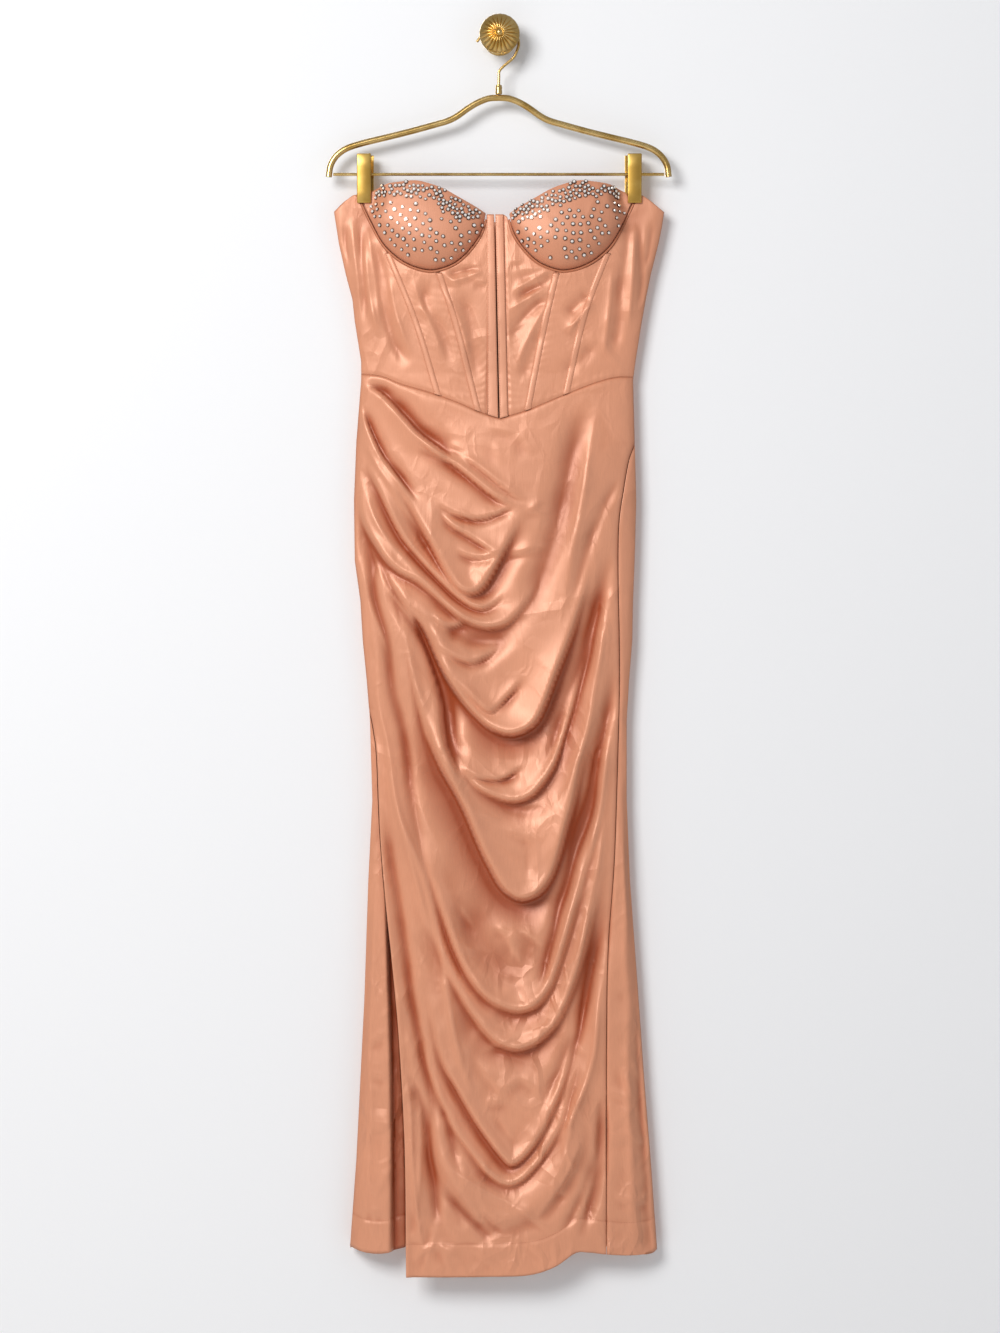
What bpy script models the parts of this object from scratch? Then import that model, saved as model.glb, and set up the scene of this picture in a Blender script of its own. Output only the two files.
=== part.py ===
"""Strapless prom dress held by two clips on a brass hanger, whose hook hangs over a brass wall hook.

Every size is in millimetres, and MM turns it to metres where a mesh is made. A place is given as
across (to the viewer's right), drop (down from the middle of the wall hook) and out (from the wall).
The wall is the plane out = 0. The front of the dress faces -Y.
"""

import math
from collections import namedtuple

import bmesh
import bpy
import numpy as np

MM = 0.001

# Cloth
WALL = 1.6
SEAM_GAP = 0.3
CUP_WALL = 3.0
SIDE_RETURN = 2.5

# Depths of the hanging dress, measured from the wall
SIDE_OUT = 15.0
BACK_OUT = 7.5
HANGER_OUT = 24.0

# How the flattened tube of the dress is rounded at its sides
SIDE_FULLNESS = 3.0

# Rows and columns of the panels
BODICE_ROWS = 8
SKIRT_ROWS = 50
SKIRT_COLUMNS = 24
SIDE_PANEL_COLUMNS = 4
BACK_ROWS = 20
BACK_COLUMNS = 6
BACK_CLIP_COLUMNS = (45, 90, 130, 157, 181)

# Outline of the dress seen from the front
Level = namedtuple("Level", "drop left right")
OUTLINE = [
    Level(221, -207, 206),
    Level(240, -204, 203),
    Level(260, -201, 199),
    Level(300, -192, 189),
    Level(330, -184, 183),
    Level(358, -181, 178),
    Level(408, -173, 170),
    Level(432, -173, 167),
    Level(508, -179, 169),
    Level(582, -182, 171),
    Level(658, -181, 169),
    Level(708, -174, 167),
    Level(758, -171, 166),
    Level(808, -166, 162),
    Level(858, -162, 159),
    Level(958, -159, 159),
    Level(1058, -164, 163),
    Level(1208, -169, 174),
    Level(1308, -174, 181),
    Level(1408, -179, 189),
    Level(1520, -187, 197),
    Level(1600, -193, 203),
]

# How far the middle of the front stands from the wall
Bulge = namedtuple("Bulge", "drop out")
FRONT_DEPTH = [
    Bulge(185, 31),
    Bulge(226, 37),
    Bulge(300, 42),
    Bulge(360, 40),
    Bulge(424, 37),
    Bulge(481, 38),
    Bulge(560, 43),
    Bulge(700, 43),
    Bulge(900, 40),
    Bulge(1200, 41),
    Bulge(1560, 47),
]

# Seams and edges, each a few places (across, drop) on a smooth line
DRESS_CENTRE = -2.5
WAIST_LEFT = [(-173, 424), (-147, 428), (-122, 438), (-88, 448), (-54, 460), (-24, 473), (0.6, 481)]
WAIST_RIGHT = [(0.6, 481), (34, 471), (77, 453), (120, 436), (146, 429), (167, 428)]
CUP_RIM = [
    (169, 211),
    (157, 236),
    (143, 262),
    (125, 280),
    (106, 291),
    (87, 296),
    (73, 295),
    (53, 287),
    (36, 272),
    (21, 250),
    (14.5, 227),
]
CUP_TOP = [
    (161, 195),
    (141, 186.5),
    (121, 183.5),
    (101, 182.5),
    (83, 187),
    (67, 193),
    (49, 203),
    (31, 213),
    (16, 222),
]
RIM_PARTS = 17
OUTER_BONE_PART = 5
INNER_BONE_PART = 10
CUP_ROWS = 7
CUP_TOP_STAND = 20.0
CUP_BULGE = 17.0
CUP_PINCH_OUT = 25.0
CUP_PINCH_FLAT = 12
CUP_PINCH_REACH = 34
CUP_RIM_INSET = 2.0
BINDING_RADIUS = 1.1
BINDING_INSET = 1.5
PANEL_RIM_INSET = 3.0

# The boning seams: where each passes half way down, and where its foot meets the waist
Bone = namedtuple("Bone", "side name part middle foot")
BONES = [
    Bone(-1, "inner", INNER_BONE_PART, (-54, 366), -27),
    Bone(-1, "outer", OUTER_BONE_PART, (-105, 360), -77),
    Bone(1, "inner", INNER_BONE_PART, (53, 378), 35),
    Bone(1, "outer", OUTER_BONE_PART, (106, 352), 83),
]
CHANNEL_WIDTH = 8.0
CHANNEL_WALL = 1.0

# The two placket strips at the centre gap: across at the top and at the waist
Strip = namedtuple("Strip", "name side top_left top_right foot_left foot_right")
PLACKETS = [
    Strip("placket_left", -1, -15.5, -6.8, -15.0, -1.4),
    Strip("placket_right", 1, -5.2, 5.0, 0.2, 10.6),
]
GORE_DROP = 226
PLACKET_LIFT = 0.8

# Skirt edges
DRAPE_FREE_EDGE = [
    (-162, 845),
    (-157, 872),
    (-153, 905),
    (-149, 1000),
    (-142, 1085),
    (-135, 1150),
    (-126, 1245),
    (-119.5, 1350),
    (-117, 1430),
    (-116, 1552),
]
RIGHT_SEAM = [
    (168.5, 512),
    (161, 533),
    (154, 572),
    (148.5, 612),
    (147.5, 675),
    (149.5, 790),
    (148, 880),
    (143, 1031),
    (135.5, 1140),
    (133, 1250),
    (132.6, 1524),
]
LEFT_PANEL_TOP = 868
LEFT_PANEL_STEPS = np.array([0, 0.22, 0.46, 0.7, 0.81, 1])
GUTTER_EDGE = [(-150, 1000), (-144.5, 1100), (-142, 1185), (-139.5, 1270), (-138, 1400), (-138, 1530)]
GUTTER_TOP = 1040
GUTTER_DEPTH = 12
GUTTER_LEAST_OUT = 18
GUTTER_SLOPE = 7
DRAPE_HEM = [(-116, 1552), (-24, 1551), (34, 1549), (68, 1539), (94, 1522), (110, 1521), (132.6, 1524)]
RIGHT_HEM = [(132.6, 1524), (163, 1526), (188, 1525), (197, 1520)]
LEFT_HEM = [(-187, 1517), (-172, 1522), (-154, 1524), (-137, 1522), (-118, 1517.5)]
BACK_HEM_DROP = 1520
BACK_SEAM = -2.0
BACK_TOP = [(-207, 221), (-190, 206), (-172, 198), (-150, 203), (-90, 224), (-2, 232)]

# The clips pinch front and back together
CLIP_ACROSS = 169
CLIP_DROP = 202
PINCH_FRONT_OUT = 25.4
PINCH_BACK_OUT = 22.2
PINCH_FLAT = 20
PINCH_REACH = 52

# Folds of the front: five places each, the height of a ridge (a trough is below 0), and how far the
# fold reaches above and below its line
Fold = namedtuple("Fold", "name start knee low rise end height above below")
FOLDS = [
    Fold("hip_pleat", (-172, 444), (-130, 475), (-89, 516), (-50, 540), (14, 588), 8, 16, 9),
    Fold("cowl_1", (-129, 561), (-81, 632), (-41, 695), (2, 649), (32, 591), 8, 20, 12),
    Fold("cowl_2", (-159, 562), (-126, 610), (-91, 662), (-42, 718), (8, 708), 6, 14, 10),
    Fold("cowl_3", (-139, 659), (-91, 697), (-38, 730), (6, 739), (32, 706), 8, 15, 12),
    Fold("cowl_4", (-60, 792), (-29, 827), (-12, 846), (6, 840), (38, 800), 4, 12, 12),
    Fold("cowl_5", (-137, 676), (-80, 774), (11, 877), (72, 805), (100, 718), 13, 30, 14),
    Fold("pocket_5", (-116, 712), (-97, 752), (-85, 800), (-69, 850), (-45, 915), -12, 16, 16),
    Fold("cowl_6", (-45, 918), (-10, 955), (40, 950), (82, 885), (116, 760), 9, 22, 15),
    Fold("cowl_7", (-100, 835), (-50, 955), (25, 1078), (80, 1020), (124, 840), 12, 28, 15),
    Fold("pocket_7", (-45, 1085), (-15, 1148), (20, 1168), (55, 1138), (82, 1060), -9, 22, 20),
    Fold("cowl_8", (-72, 1095), (-35, 1168), (28, 1212), (72, 1140), (120, 1018), 9, 18, 14),
    Fold("cowl_9", (-63, 1164), (-18, 1244), (34, 1264), (92, 1192), (128, 1050), 8, 18, 15),
    Fold("vee_10", (-55, 1310), (-18, 1354), (17, 1406), (45, 1370), (78, 1298), 7, 16, 15),
    Fold("bow_11", (-45, 1440), (-18, 1482), (6, 1498), (35, 1478), (62, 1420), -5, 16, 16),
    Fold("left_gutter", (-166, 600), (-152, 705), (-134, 820), (-114, 908), (-98, 1030), -5, 12, 12),
    Fold("left_ridge", (-151, 830), (-137, 919), (-123, 986), (-103, 1075), (-79, 1158), 5, 12, 12),
    Fold("slit_ridge", (-142, 1040), (-130, 1170), (-119, 1280), (-108, 1370), (-98, 1450), 4, 11, 11),
    Fold("slit_gutter", (-126, 1098), (-115, 1190), (-103, 1272), (-90, 1380), (-79, 1480), -5, 11, 11),
    Fold("knee_ridge", (-93, 1160), (-80, 1210), (-68, 1258), (-56, 1290), (-43, 1330), 5, 12, 12),
    Fold("right_trough_1", (110, 456), (88, 536), (74, 609), (57, 666), (26, 731), -7, 16, 16),
    Fold("right_ridge_1", (121, 450), (110, 520), (99, 580), (86, 666), (70, 735), 5, 13, 13),
    Fold("right_trough_2", (140, 641), (120, 715), (99, 780), (84, 848), (50, 925), -6, 13, 13),
    Fold("right_ridge_2", (134, 690), (125, 750), (114, 820), (97, 909), (71, 980), 5, 12, 12),
    Fold("right_trough_3", (138, 822), (119, 930), (97, 1031), (77, 1115), (46, 1200), -6, 13, 13),
    Fold("right_trough_4", (130, 1078), (119, 1149), (104, 1232), (82, 1308), (51, 1369), -5, 13, 13),
    Fold("right_ridge_4", (123, 1192), (117, 1270), (105, 1320), (90, 1355), (73, 1381), 5, 12, 12),
    Fold("right_trough_5", (126, 1330), (122, 1380), (118, 1430), (108, 1470), (97, 1505), -4, 12, 12),
]

# Soft upright folds below each clip and down the back: across at the top and foot, drops, height, reach
Flute = namedtuple("Flute", "across_top across_foot top foot height reach")
SIDE_FLUTES = [
    Flute(-191, -186, 222, 330, -4, 6),
    Flute(-176, -168, 222, 400, -4, 7),
    Flute(-160, -150, 245, 400, 3, 7),
    Flute(189, 184, 222, 330, -4, 6),
    Flute(174, 166, 222, 400, -4, 7),
    Flute(158, 148, 245, 400, 3, 7),
]
HEM_FLUTES = [
    Flute(156, 166, 900, 1560, 5, 14),
    Flute(-158, -170, 1050, 1560, 4, 11),
]
BACK_FLUTES = [
    Flute(-150, -140, 215, 900, 3, 18),
    Flute(-95, -110, 430, 1560, -3, 22),
    Flute(-45, -50, 500, 1560, 3, 20),
    Flute(55, 60, 480, 1560, -3, 22),
    Flute(105, 120, 430, 1560, 3, 20),
    Flute(150, 142, 215, 900, -3, 18),
]
FOLD_END_FADE = 0.22
WAIST_FADE = 22
EDGE_FADE = 0.05

# Hanger
TUBE_RADIUS = 4.0
TUBE_LINE = [
    (0, 78),
    (-13, 79),
    (-26, 84),
    (-38, 91),
    (-52, 101),
    (-64, 107),
    (-81, 112),
    (-110, 120),
    (-138, 127),
    (-167, 134),
    (-187, 140),
    (-198, 146),
    (-206, 154),
    (-211, 164),
    (-213, 177),
]
TUBE_STEPS = 34
TUBE_CENTRE = -1.0
BAR_RADIUS = 1.9
BAR_DROP = 174
COLLAR_RADIUS = 4.3
COLLAR_TOP = 62
COLLAR_FOOT = 73.5
HOOK_RADIUS = 1.75
HOOK_BEND_RADIUS = 24.0
HOOK_BEND_DROP = 10.0
HOOK_SHANK = [(-1, 61.7), (-0.8, 52), (-0.4, 45), (4, 39.5), (11, 33.5), (18, 27), (23, 17)]
HOOK_TIP = [(-25.5, 4), (-28.5, 8)]
HOOK_ARC_STEPS = 12

# Clips
CLIP_WIDTH = 18
CLIP_TOP = 148
CLIP_FOOT = 210
CLIP_WALL = 1.4
CLIP_FLANGE = 2.4
JAW_FRONT_TOP_OUT = 33.6
JAW_FRONT_FOOT_OUT = 29.4
JAW_BACK_TOP_OUT = 14.4
JAW_BACK_FOOT_OUT = 19.6
BACK_JAW_WIDTH = 22
BARREL_LENGTH = 12
BARREL_INNER = BAR_RADIUS + SEAM_GAP
BARREL_OUTER = 6.6
BARREL_SIDES = 16

# Wall hook
PLATE_RADIUS = 21
PLATE_DEPTH = 5
STEM_RADIUS = 13.0
STEM_GROOVE = 11.9
STEM_END = 33
KNOB_RADIUS = 25.2
KNOB_DEPTH = 15
KNOB_FLUTES = 22
KNOB_FLUTE_DEPTH = 1.3
BOSS_RADIUS = 4.4
BOSS_HEIGHT = 3.2

# Colours
SATIN_COLOUR = "#E0A07F"
BINDING_COLOUR = "#B8714F"
BRASS_COLOUR = "#B08D45"


def clear_scene():
    for obj in list(bpy.data.objects):
        bpy.data.objects.remove(obj, do_unlink=True)


def linear(value):
    return value / 12.92 if value <= 0.04045 else ((value + 0.055) / 1.055) ** 2.4


def make_material(name, colour, roughness, metallic):
    material = bpy.data.materials.new(name)
    material.use_nodes = True
    shader = material.node_tree.nodes["Principled BSDF"]
    channels = [linear(int(colour[i : i + 2], 16) / 255) for i in (1, 3, 5)]
    shader.inputs["Base Color"].default_value = (*channels, 1)
    shader.inputs["Roughness"].default_value = roughness
    shader.inputs["Metallic"].default_value = metallic
    return material


def finish_mesh(name, bm, material, collection):
    """Turns a bmesh in metres into a named object, shaded smooth."""
    mesh = bpy.data.meshes.new(name)
    bm.to_mesh(mesh)
    bm.free()
    mesh.materials.append(material)
    mesh.shade_smooth()
    mesh.set_sharp_from_angle(angle=math.radians(40))
    obj = bpy.data.objects.new(name, mesh)
    collection.objects.link(obj)
    return obj


# Lines


def dense_line(places, per_span=16):
    """A smooth line through the places, as many close points."""
    points = np.array(places, float)
    if len(points) < 3:
        return points
    ends = np.vstack([2 * points[0] - points[1], points, 2 * points[-1] - points[-2]])
    steps = np.linspace(0, 1, per_span, endpoint=False)[:, None]
    spans = []
    for a, b, c, d in zip(ends, ends[1:], ends[2:], ends[3:]):
        bend = 2 * a - 5 * b + 4 * c - d
        twist = 3 * (b - c) + d - a
        spans.append(0.5 * (2 * b + (c - a) * steps + bend * steps**2 + twist * steps**3))
    return np.vstack([*spans, points[-1:]])


def along(places, fractions):
    """The points at these fractions of the length of the smooth line through the places."""
    line = dense_line(places)
    lengths = np.concatenate([[0], np.cumsum(np.linalg.norm(np.diff(line, axis=0), axis=1))])
    reach = np.asarray(fractions) * lengths[-1]
    return np.stack([np.interp(reach, lengths, line[:, k]) for k in range(line.shape[1])], axis=1)


def waist_drop(across):
    line = np.vstack([dense_line(WAIST_LEFT), dense_line(WAIST_RIGHT)[1:]])
    return np.interp(across, line[:, 0], line[:, 1])


def silhouette(drop, side):
    column = "left" if side < 0 else "right"
    return np.interp(drop, [row.drop for row in OUTLINE], [getattr(row, column) for row in OUTLINE])


def eased(count, towards_start, towards_end):
    """Fractions from 0 to 1 that crowd towards the ends where the cloth curves round."""
    steps = np.linspace(0, 1, count + 1)
    if towards_start and towards_end:
        round_steps = 0.5 - 0.5 * np.cos(math.pi * steps)
    elif towards_start:
        round_steps = 1 - np.cos(0.5 * math.pi * steps)
    elif towards_end:
        round_steps = np.sin(0.5 * math.pi * steps)
    else:
        return steps
    return 0.35 * steps + 0.65 * round_steps


# The surface of the front and of the back


def smoothstep(value):
    t = np.clip(value, 0, 1)
    return t * t * (3 - 2 * t)


def side_share(across, drop):
    """0 at the dress's middle line and 1 at its outline."""
    left = silhouette(drop, -1)
    right = silhouette(drop, 1)
    return np.clip(np.abs(across - (left + right) / 2) / ((right - left) / 2), 0, 1)


def roundness(share):
    return np.sqrt(np.clip(1 - share**SIDE_FULLNESS, 0, 1))


def fold_height(fold, across, drop):
    """The height of one fold at each point: steep on its lower side, easy on its upper side."""
    line = along([fold.start, fold.knee, fold.low, fold.rise, fold.end], np.linspace(0, 1, 25))
    a, b = line[:-1], line[1:]
    step = b - a
    place = np.stack([across.ravel(), drop.ravel()], axis=1)[:, None, :]
    t = np.clip(((place - a) * step).sum(2) / (step**2).sum(1), 0, 1)
    offset = place - (a + t[..., None] * step)
    distance = np.linalg.norm(offset, axis=2)
    nearest = distance.argmin(1)
    rows = np.arange(len(nearest))
    distance = distance[rows, nearest]
    offset = offset[rows, nearest]
    step = step[nearest]
    below = step[:, 0] * offset[:, 1] - step[:, 1] * offset[:, 0] > 0
    reach = np.where(below, fold.below, fold.above)
    share = (nearest + t[rows, nearest]) / len(a)
    fade = smoothstep(share / FOLD_END_FADE) * smoothstep((1 - share) / FOLD_END_FADE)
    return (fold.height * fade * np.exp(-((distance / reach) ** 2))).reshape(across.shape)


def flute_height(flute, across, drop):
    share = (drop - flute.top) / (flute.foot - flute.top)
    middle = flute.across_top + (flute.across_foot - flute.across_top) * share
    fade = smoothstep(share / FOLD_END_FADE) * smoothstep((1.25 - share) / FOLD_END_FADE)
    return flute.height * fade * np.exp(-(((across - middle) / flute.reach) ** 2))


def pinched(out, across, drop, pinch_out, flat=PINCH_FLAT, reach=PINCH_REACH):
    """Brings the cloth to the clips' jaws, which hold front and back together."""
    for side in (-1, 1):
        centre = DRESS_CENTRE + 0.5 + side * CLIP_ACROSS
        distance = np.hypot(across - centre, (drop - CLIP_DROP) * 0.8)
        weight = smoothstep((reach - distance) / (reach - flat))
        out = out + (pinch_out - out) * weight
    return out


def front_out(across, drop):
    share = side_share(across, drop)
    middle = np.interp(drop, [row.drop for row in FRONT_DEPTH], [row.out for row in FRONT_DEPTH])
    out = SIDE_OUT + SIDE_RETURN + (middle - SIDE_OUT - SIDE_RETURN) * roundness(share)
    folds = np.zeros_like(out)
    for fold in FOLDS:
        folds += fold_height(fold, across, drop)
    for flute in SIDE_FLUTES + HEM_FLUTES:
        folds += flute_height(flute, across, drop)
    calm = smoothstep((1 - share) / EDGE_FADE) * smoothstep(np.abs(drop - waist_drop(across)) / WAIST_FADE)
    return pinched(out + folds * calm, across, drop, PINCH_FRONT_OUT)


def back_out(across, drop):
    share = side_share(across, drop)
    out = SIDE_OUT - SIDE_RETURN - (SIDE_OUT - SIDE_RETURN - BACK_OUT) * roundness(share)
    for flute in BACK_FLUTES:
        out = out + flute_height(flute, across, drop) * smoothstep((1 - share) / EDGE_FADE)
    return pinched(out, across, drop, PINCH_BACK_OUT)


# Panels


def patch(top, foot, left, right):
    """Fills the space between four edges. Each edge is an array of (across, drop)."""
    v = np.linspace(0, 1, len(left))[:, None, None]
    # A crowded edge keeps its crowding: u follows the points of the top edge
    run = np.concatenate([[0], np.cumsum(np.linalg.norm(np.diff(top, axis=0), axis=1))])
    u = (run / run[-1])[None, :, None]
    rows = (1 - v) * top[None] + v * foot[None]
    columns = (1 - u) * left[:, None] + u * right[:, None]
    corners = (1 - v) * ((1 - u) * top[0] + u * top[-1]) + v * ((1 - u) * foot[0] + u * foot[-1])
    return rows + columns - corners


def with_column(places, out, side, depth):
    """Adds a column at one side of a panel, at the same places but at another depth."""
    if side < 0:
        return np.concatenate([places[:, :1], places], axis=1), np.concatenate([depth, out], axis=1)
    return np.concatenate([places, places[:, -1:]], axis=1), np.concatenate([out, depth], axis=1)


def with_return(places, out, side):
    """Adds the narrow strip of the front that turns straight back to the side seam."""
    edge = out[:, :1] if side < 0 else out[:, -1:]
    depth = np.maximum(edge - SIDE_RETURN, SIDE_OUT + SEAM_GAP / 2)
    return with_column(places, out, side, depth)


def with_back_return(places, out, side):
    """Adds the narrow strip of the back that turns forward to the side seam."""
    depth = np.full((len(out), 1), SIDE_OUT - SEAM_GAP / 2)
    return with_column(places, out, side, depth)


def cloth(name, places, out, wall, material, collection):
    """A sheet of cloth over a grid of (across, drop) places at these depths, given its thickness."""
    rows, columns = out.shape
    bm = bmesh.new()
    bmesh.ops.create_grid(bm, x_segments=columns - 1, y_segments=rows - 1, size=1)
    for vert in bm.verts:
        column = round((vert.co.x + 1) / 2 * (columns - 1))
        row = round((1 - vert.co.y) / 2 * (rows - 1))
        across, drop = places[row, column]
        vert.co = (across * MM, -out[row, column] * MM, -drop * MM)
    obj = finish_mesh(name, bm, material, collection)
    solidify = obj.modifiers.new("wall", "SOLIDIFY")
    solidify.thickness = wall * MM
    solidify.offset = 0
    return obj


def rim_points(side, inset=0.0):
    """The cup's lower rim, from its outer end to the gore, moved away from the cup by inset."""
    points = along(CUP_RIM, np.linspace(0, 1, RIM_PARTS + 1))
    slope = np.gradient(points, axis=0)
    normal = np.stack([-slope[:, 1], slope[:, 0]], axis=1)
    normal /= np.linalg.norm(normal, axis=1)[:, None]
    centre = np.array([87, 235])
    normal *= np.sign(((points - centre) * normal).sum(1))[:, None]
    points = points + inset * normal
    return np.stack([DRESS_CENTRE + side * points[:, 0], points[:, 1]], axis=1)


def bone_seam(bone):
    """The seam under one boning channel, from the cup's rim to the waist."""
    start = rim_points(bone.side, PANEL_RIM_INSET)[bone.part]
    foot = (bone.foot, float(waist_drop(bone.foot)))
    return along([tuple(start), bone.middle, foot], np.linspace(0, 1, BODICE_ROWS + 1))


def placket_edge(strip, which):
    top = getattr(strip, "top_" + which)
    foot = getattr(strip, "foot_" + which)
    start = (top, GORE_DROP)
    end = (foot, float(waist_drop(foot)))
    return along([start, end], np.linspace(0, 1, BODICE_ROWS + 1))


def shifted(edge, across=0.0, drop=0.0):
    return edge + np.array([across, drop])


def waist_edge(start, end, count, fractions=None):
    """The waist seam between two places across, just above the skirt."""
    steps = np.linspace(0, 1, count + 1) if fractions is None else fractions
    across = start + (end - start) * steps
    return np.stack([across, waist_drop(across) - SEAM_GAP / 2], axis=1)


def bodice_panel(top, left, right, fractions=None):
    """One bodice panel between two seams, from its top edge down to the waist."""
    foot = waist_edge(left[-1, 0], right[-1, 0], len(top) - 1, fractions)
    left = left.copy()
    right = right.copy()
    left[-1] = foot[0]
    right[-1] = foot[-1]
    left[0] = top[0]
    right[0] = top[-1]
    return patch(top, foot, left, right)


def make_side_front(side, outer, satin, collection):
    """From the side seam to the outer boning seam, with the clip's pinch in its top edge."""
    rim = rim_points(side, PANEL_RIM_INSET)[: OUTER_BONE_PART + 1]
    corner = (silhouette(221, side), 221)
    shoulder = (DRESS_CENTRE + side * 180, 200)
    start = tuple(rim[0] + np.array([side * 1.0, -3]))
    top = np.vstack([along([corner, shoulder], [0, 0.3, 0.65]), [shoulder], [start], rim[1:]])
    drops = np.linspace(221, float(waist_drop(-173 if side < 0 else 167)), BODICE_ROWS + 1)
    outline = np.stack([silhouette(drops, side), drops], axis=1)
    inner = shifted(outer, side * SEAM_GAP / 2)
    top[-1] = inner[0]
    if side < 0:
        places = bodice_panel(top, outline, inner, eased(len(top) - 1, True, False))
    else:
        places = bodice_panel(top[::-1], inner, outline, eased(len(top) - 1, False, True))
    out = front_out(places[..., 0], places[..., 1])
    places, out = with_return(places, out, side)
    cloth("side_front_" + ("left" if side < 0 else "right"), places, out, WALL, satin, collection)


def make_bodice(satin, collection):
    seams = {(bone.side, bone.name): bone_seam(bone) for bone in BONES}
    for strip in PLACKETS:
        side = strip.side
        word = "left" if side < 0 else "right"
        inner = seams[side, "inner"]
        outer = seams[side, "outer"]
        rim = rim_points(side, PANEL_RIM_INSET)
        make_side_front(side, outer, satin, collection)

        middle_top = rim[OUTER_BONE_PART : INNER_BONE_PART + 1]
        centre_top = rim[INNER_BONE_PART:]
        outside = placket_edge(strip, word)
        centre_top = np.vstack([centre_top[:-1], outside[:1]])
        if side < 0:
            middle = bodice_panel(middle_top, outer, inner)
            centre = bodice_panel(centre_top, inner, outside)
        else:
            middle = bodice_panel(middle_top[::-1], inner, outer)
            centre = bodice_panel(centre_top[::-1], outside, inner)
        for name, places in (("middle_front_" + word, middle), ("centre_front_" + word, centre)):
            places[:, 0, 0] += SEAM_GAP / 2
            places[:, -1, 0] -= SEAM_GAP / 2
            cloth(name, places, front_out(places[..., 0], places[..., 1]), WALL, satin, collection)
        make_placket(strip, satin, collection)
    for bone in BONES:
        make_channel(bone, seams[bone.side, bone.name], satin, collection)


def make_placket(strip, satin, collection):
    left = placket_edge(strip, "left")
    right = placket_edge(strip, "right")
    places = np.stack([left, (left + right) / 2, right], axis=1)
    places[:, 0, 0] += SEAM_GAP / 2
    places[:, -1, 0] -= SEAM_GAP / 2
    places[-1, :, 1] = waist_drop(places[-1, :, 0]) - SEAM_GAP / 2
    out = front_out(places[..., 0], places[..., 1]) + PLACKET_LIFT
    cloth(strip.name, places, out, WALL, satin, collection)


def make_channel(bone, seam, satin, collection):
    """A flat strip over a boning seam, made from the seam's own points and lifted off the panels."""
    word = "left" if bone.side < 0 else "right"
    places = np.stack([shifted(seam, -CHANNEL_WIDTH / 2), seam, shifted(seam, CHANNEL_WIDTH / 2)], axis=1)
    places[0, :, 1] += 5
    places[-1, :, 1] = waist_drop(places[-1, :, 0]) - 2
    lift = (WALL + CHANNEL_WALL) / 2 + SEAM_GAP
    out = front_out(places[..., 0], places[..., 1]) + lift
    cloth(f"boning_{bone.name}_{word}", places, out, CHANNEL_WALL, satin, collection)


# Cups


def cup_surface(side, rows):
    """Places and depths of a cup, from its lower rim up to its free top edge."""
    rim = rim_points(side, -CUP_RIM_INSET)
    top = along(CUP_TOP, np.linspace(0, 1, RIM_PARTS + 1))
    top = np.stack([DRESS_CENTRE + side * top[:, 0], top[:, 1]], axis=1)
    height = np.linspace(0, 1, rows + 1)[:, None]
    width = np.linspace(0, 1, RIM_PARTS + 1)[None, :]
    places = top[None] * height[..., None] + rim[None] * (1 - height[..., None])
    rim_out = front_out(rim[:, 0], rim[:, 1])[None, :]
    top_out = front_out(top[:, 0], top[:, 1])[None, :]
    swell = np.sin(math.pi * width) ** 0.7
    stand = CUP_TOP_STAND * swell
    bulge = CUP_BULGE * swell * np.sin(math.pi * height**0.62)
    out = rim_out * (1 - height) + (top_out + stand) * height + bulge
    across, drop = places[..., 0], places[..., 1]
    return places, pinched(out, across, drop, CUP_PINCH_OUT, CUP_PINCH_FLAT, CUP_PINCH_REACH)


def make_cup(side, satin, binding, collection):
    word = "left" if side < 0 else "right"
    places, out = cup_surface(side, CUP_ROWS)
    places, out = places[::-1], out[::-1]
    if side > 0:
        places, out = places[:, ::-1], out[:, ::-1]
    cloth("cup_" + word, places, out, CUP_WALL, satin, collection)

    line = rim_points(side, BINDING_INSET)
    depth = front_out(line[:, 0], line[:, 1]) + 0.6
    points = [(x, d, o) for (x, d), o in zip(line, depth)]
    make_tube("cup_binding_" + word, points[:-1], BINDING_RADIUS, 1, binding, collection)


def make_tube(name, points, radius, resolution, material, collection):
    """A round bar along places (across, drop, out)."""
    curve = bpy.data.curves.new(name, "CURVE")
    curve.dimensions = "3D"
    curve.bevel_depth = radius * MM
    curve.bevel_resolution = resolution
    curve.use_fill_caps = True
    spline = curve.splines.new("POLY")
    spline.points.add(len(points) - 1)
    for point, (across, drop, out) in zip(spline.points, points):
        point.co = (across * MM, -out * MM, -drop * MM, 1)
    curve.materials.append(material)
    obj = bpy.data.objects.new(name, curve)
    collection.objects.link(obj)
    return obj


# Back of the bodice


def clip_steps(side):
    """Fractions across a back bodice panel with a column just inside each end of the clip's jaws."""
    half = abs(silhouette(221, side) - BACK_SEAM)
    share = np.array([0, *BACK_CLIP_COLUMNS, half]) / half
    return 1 - share[::-1] if side < 0 else share


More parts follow.
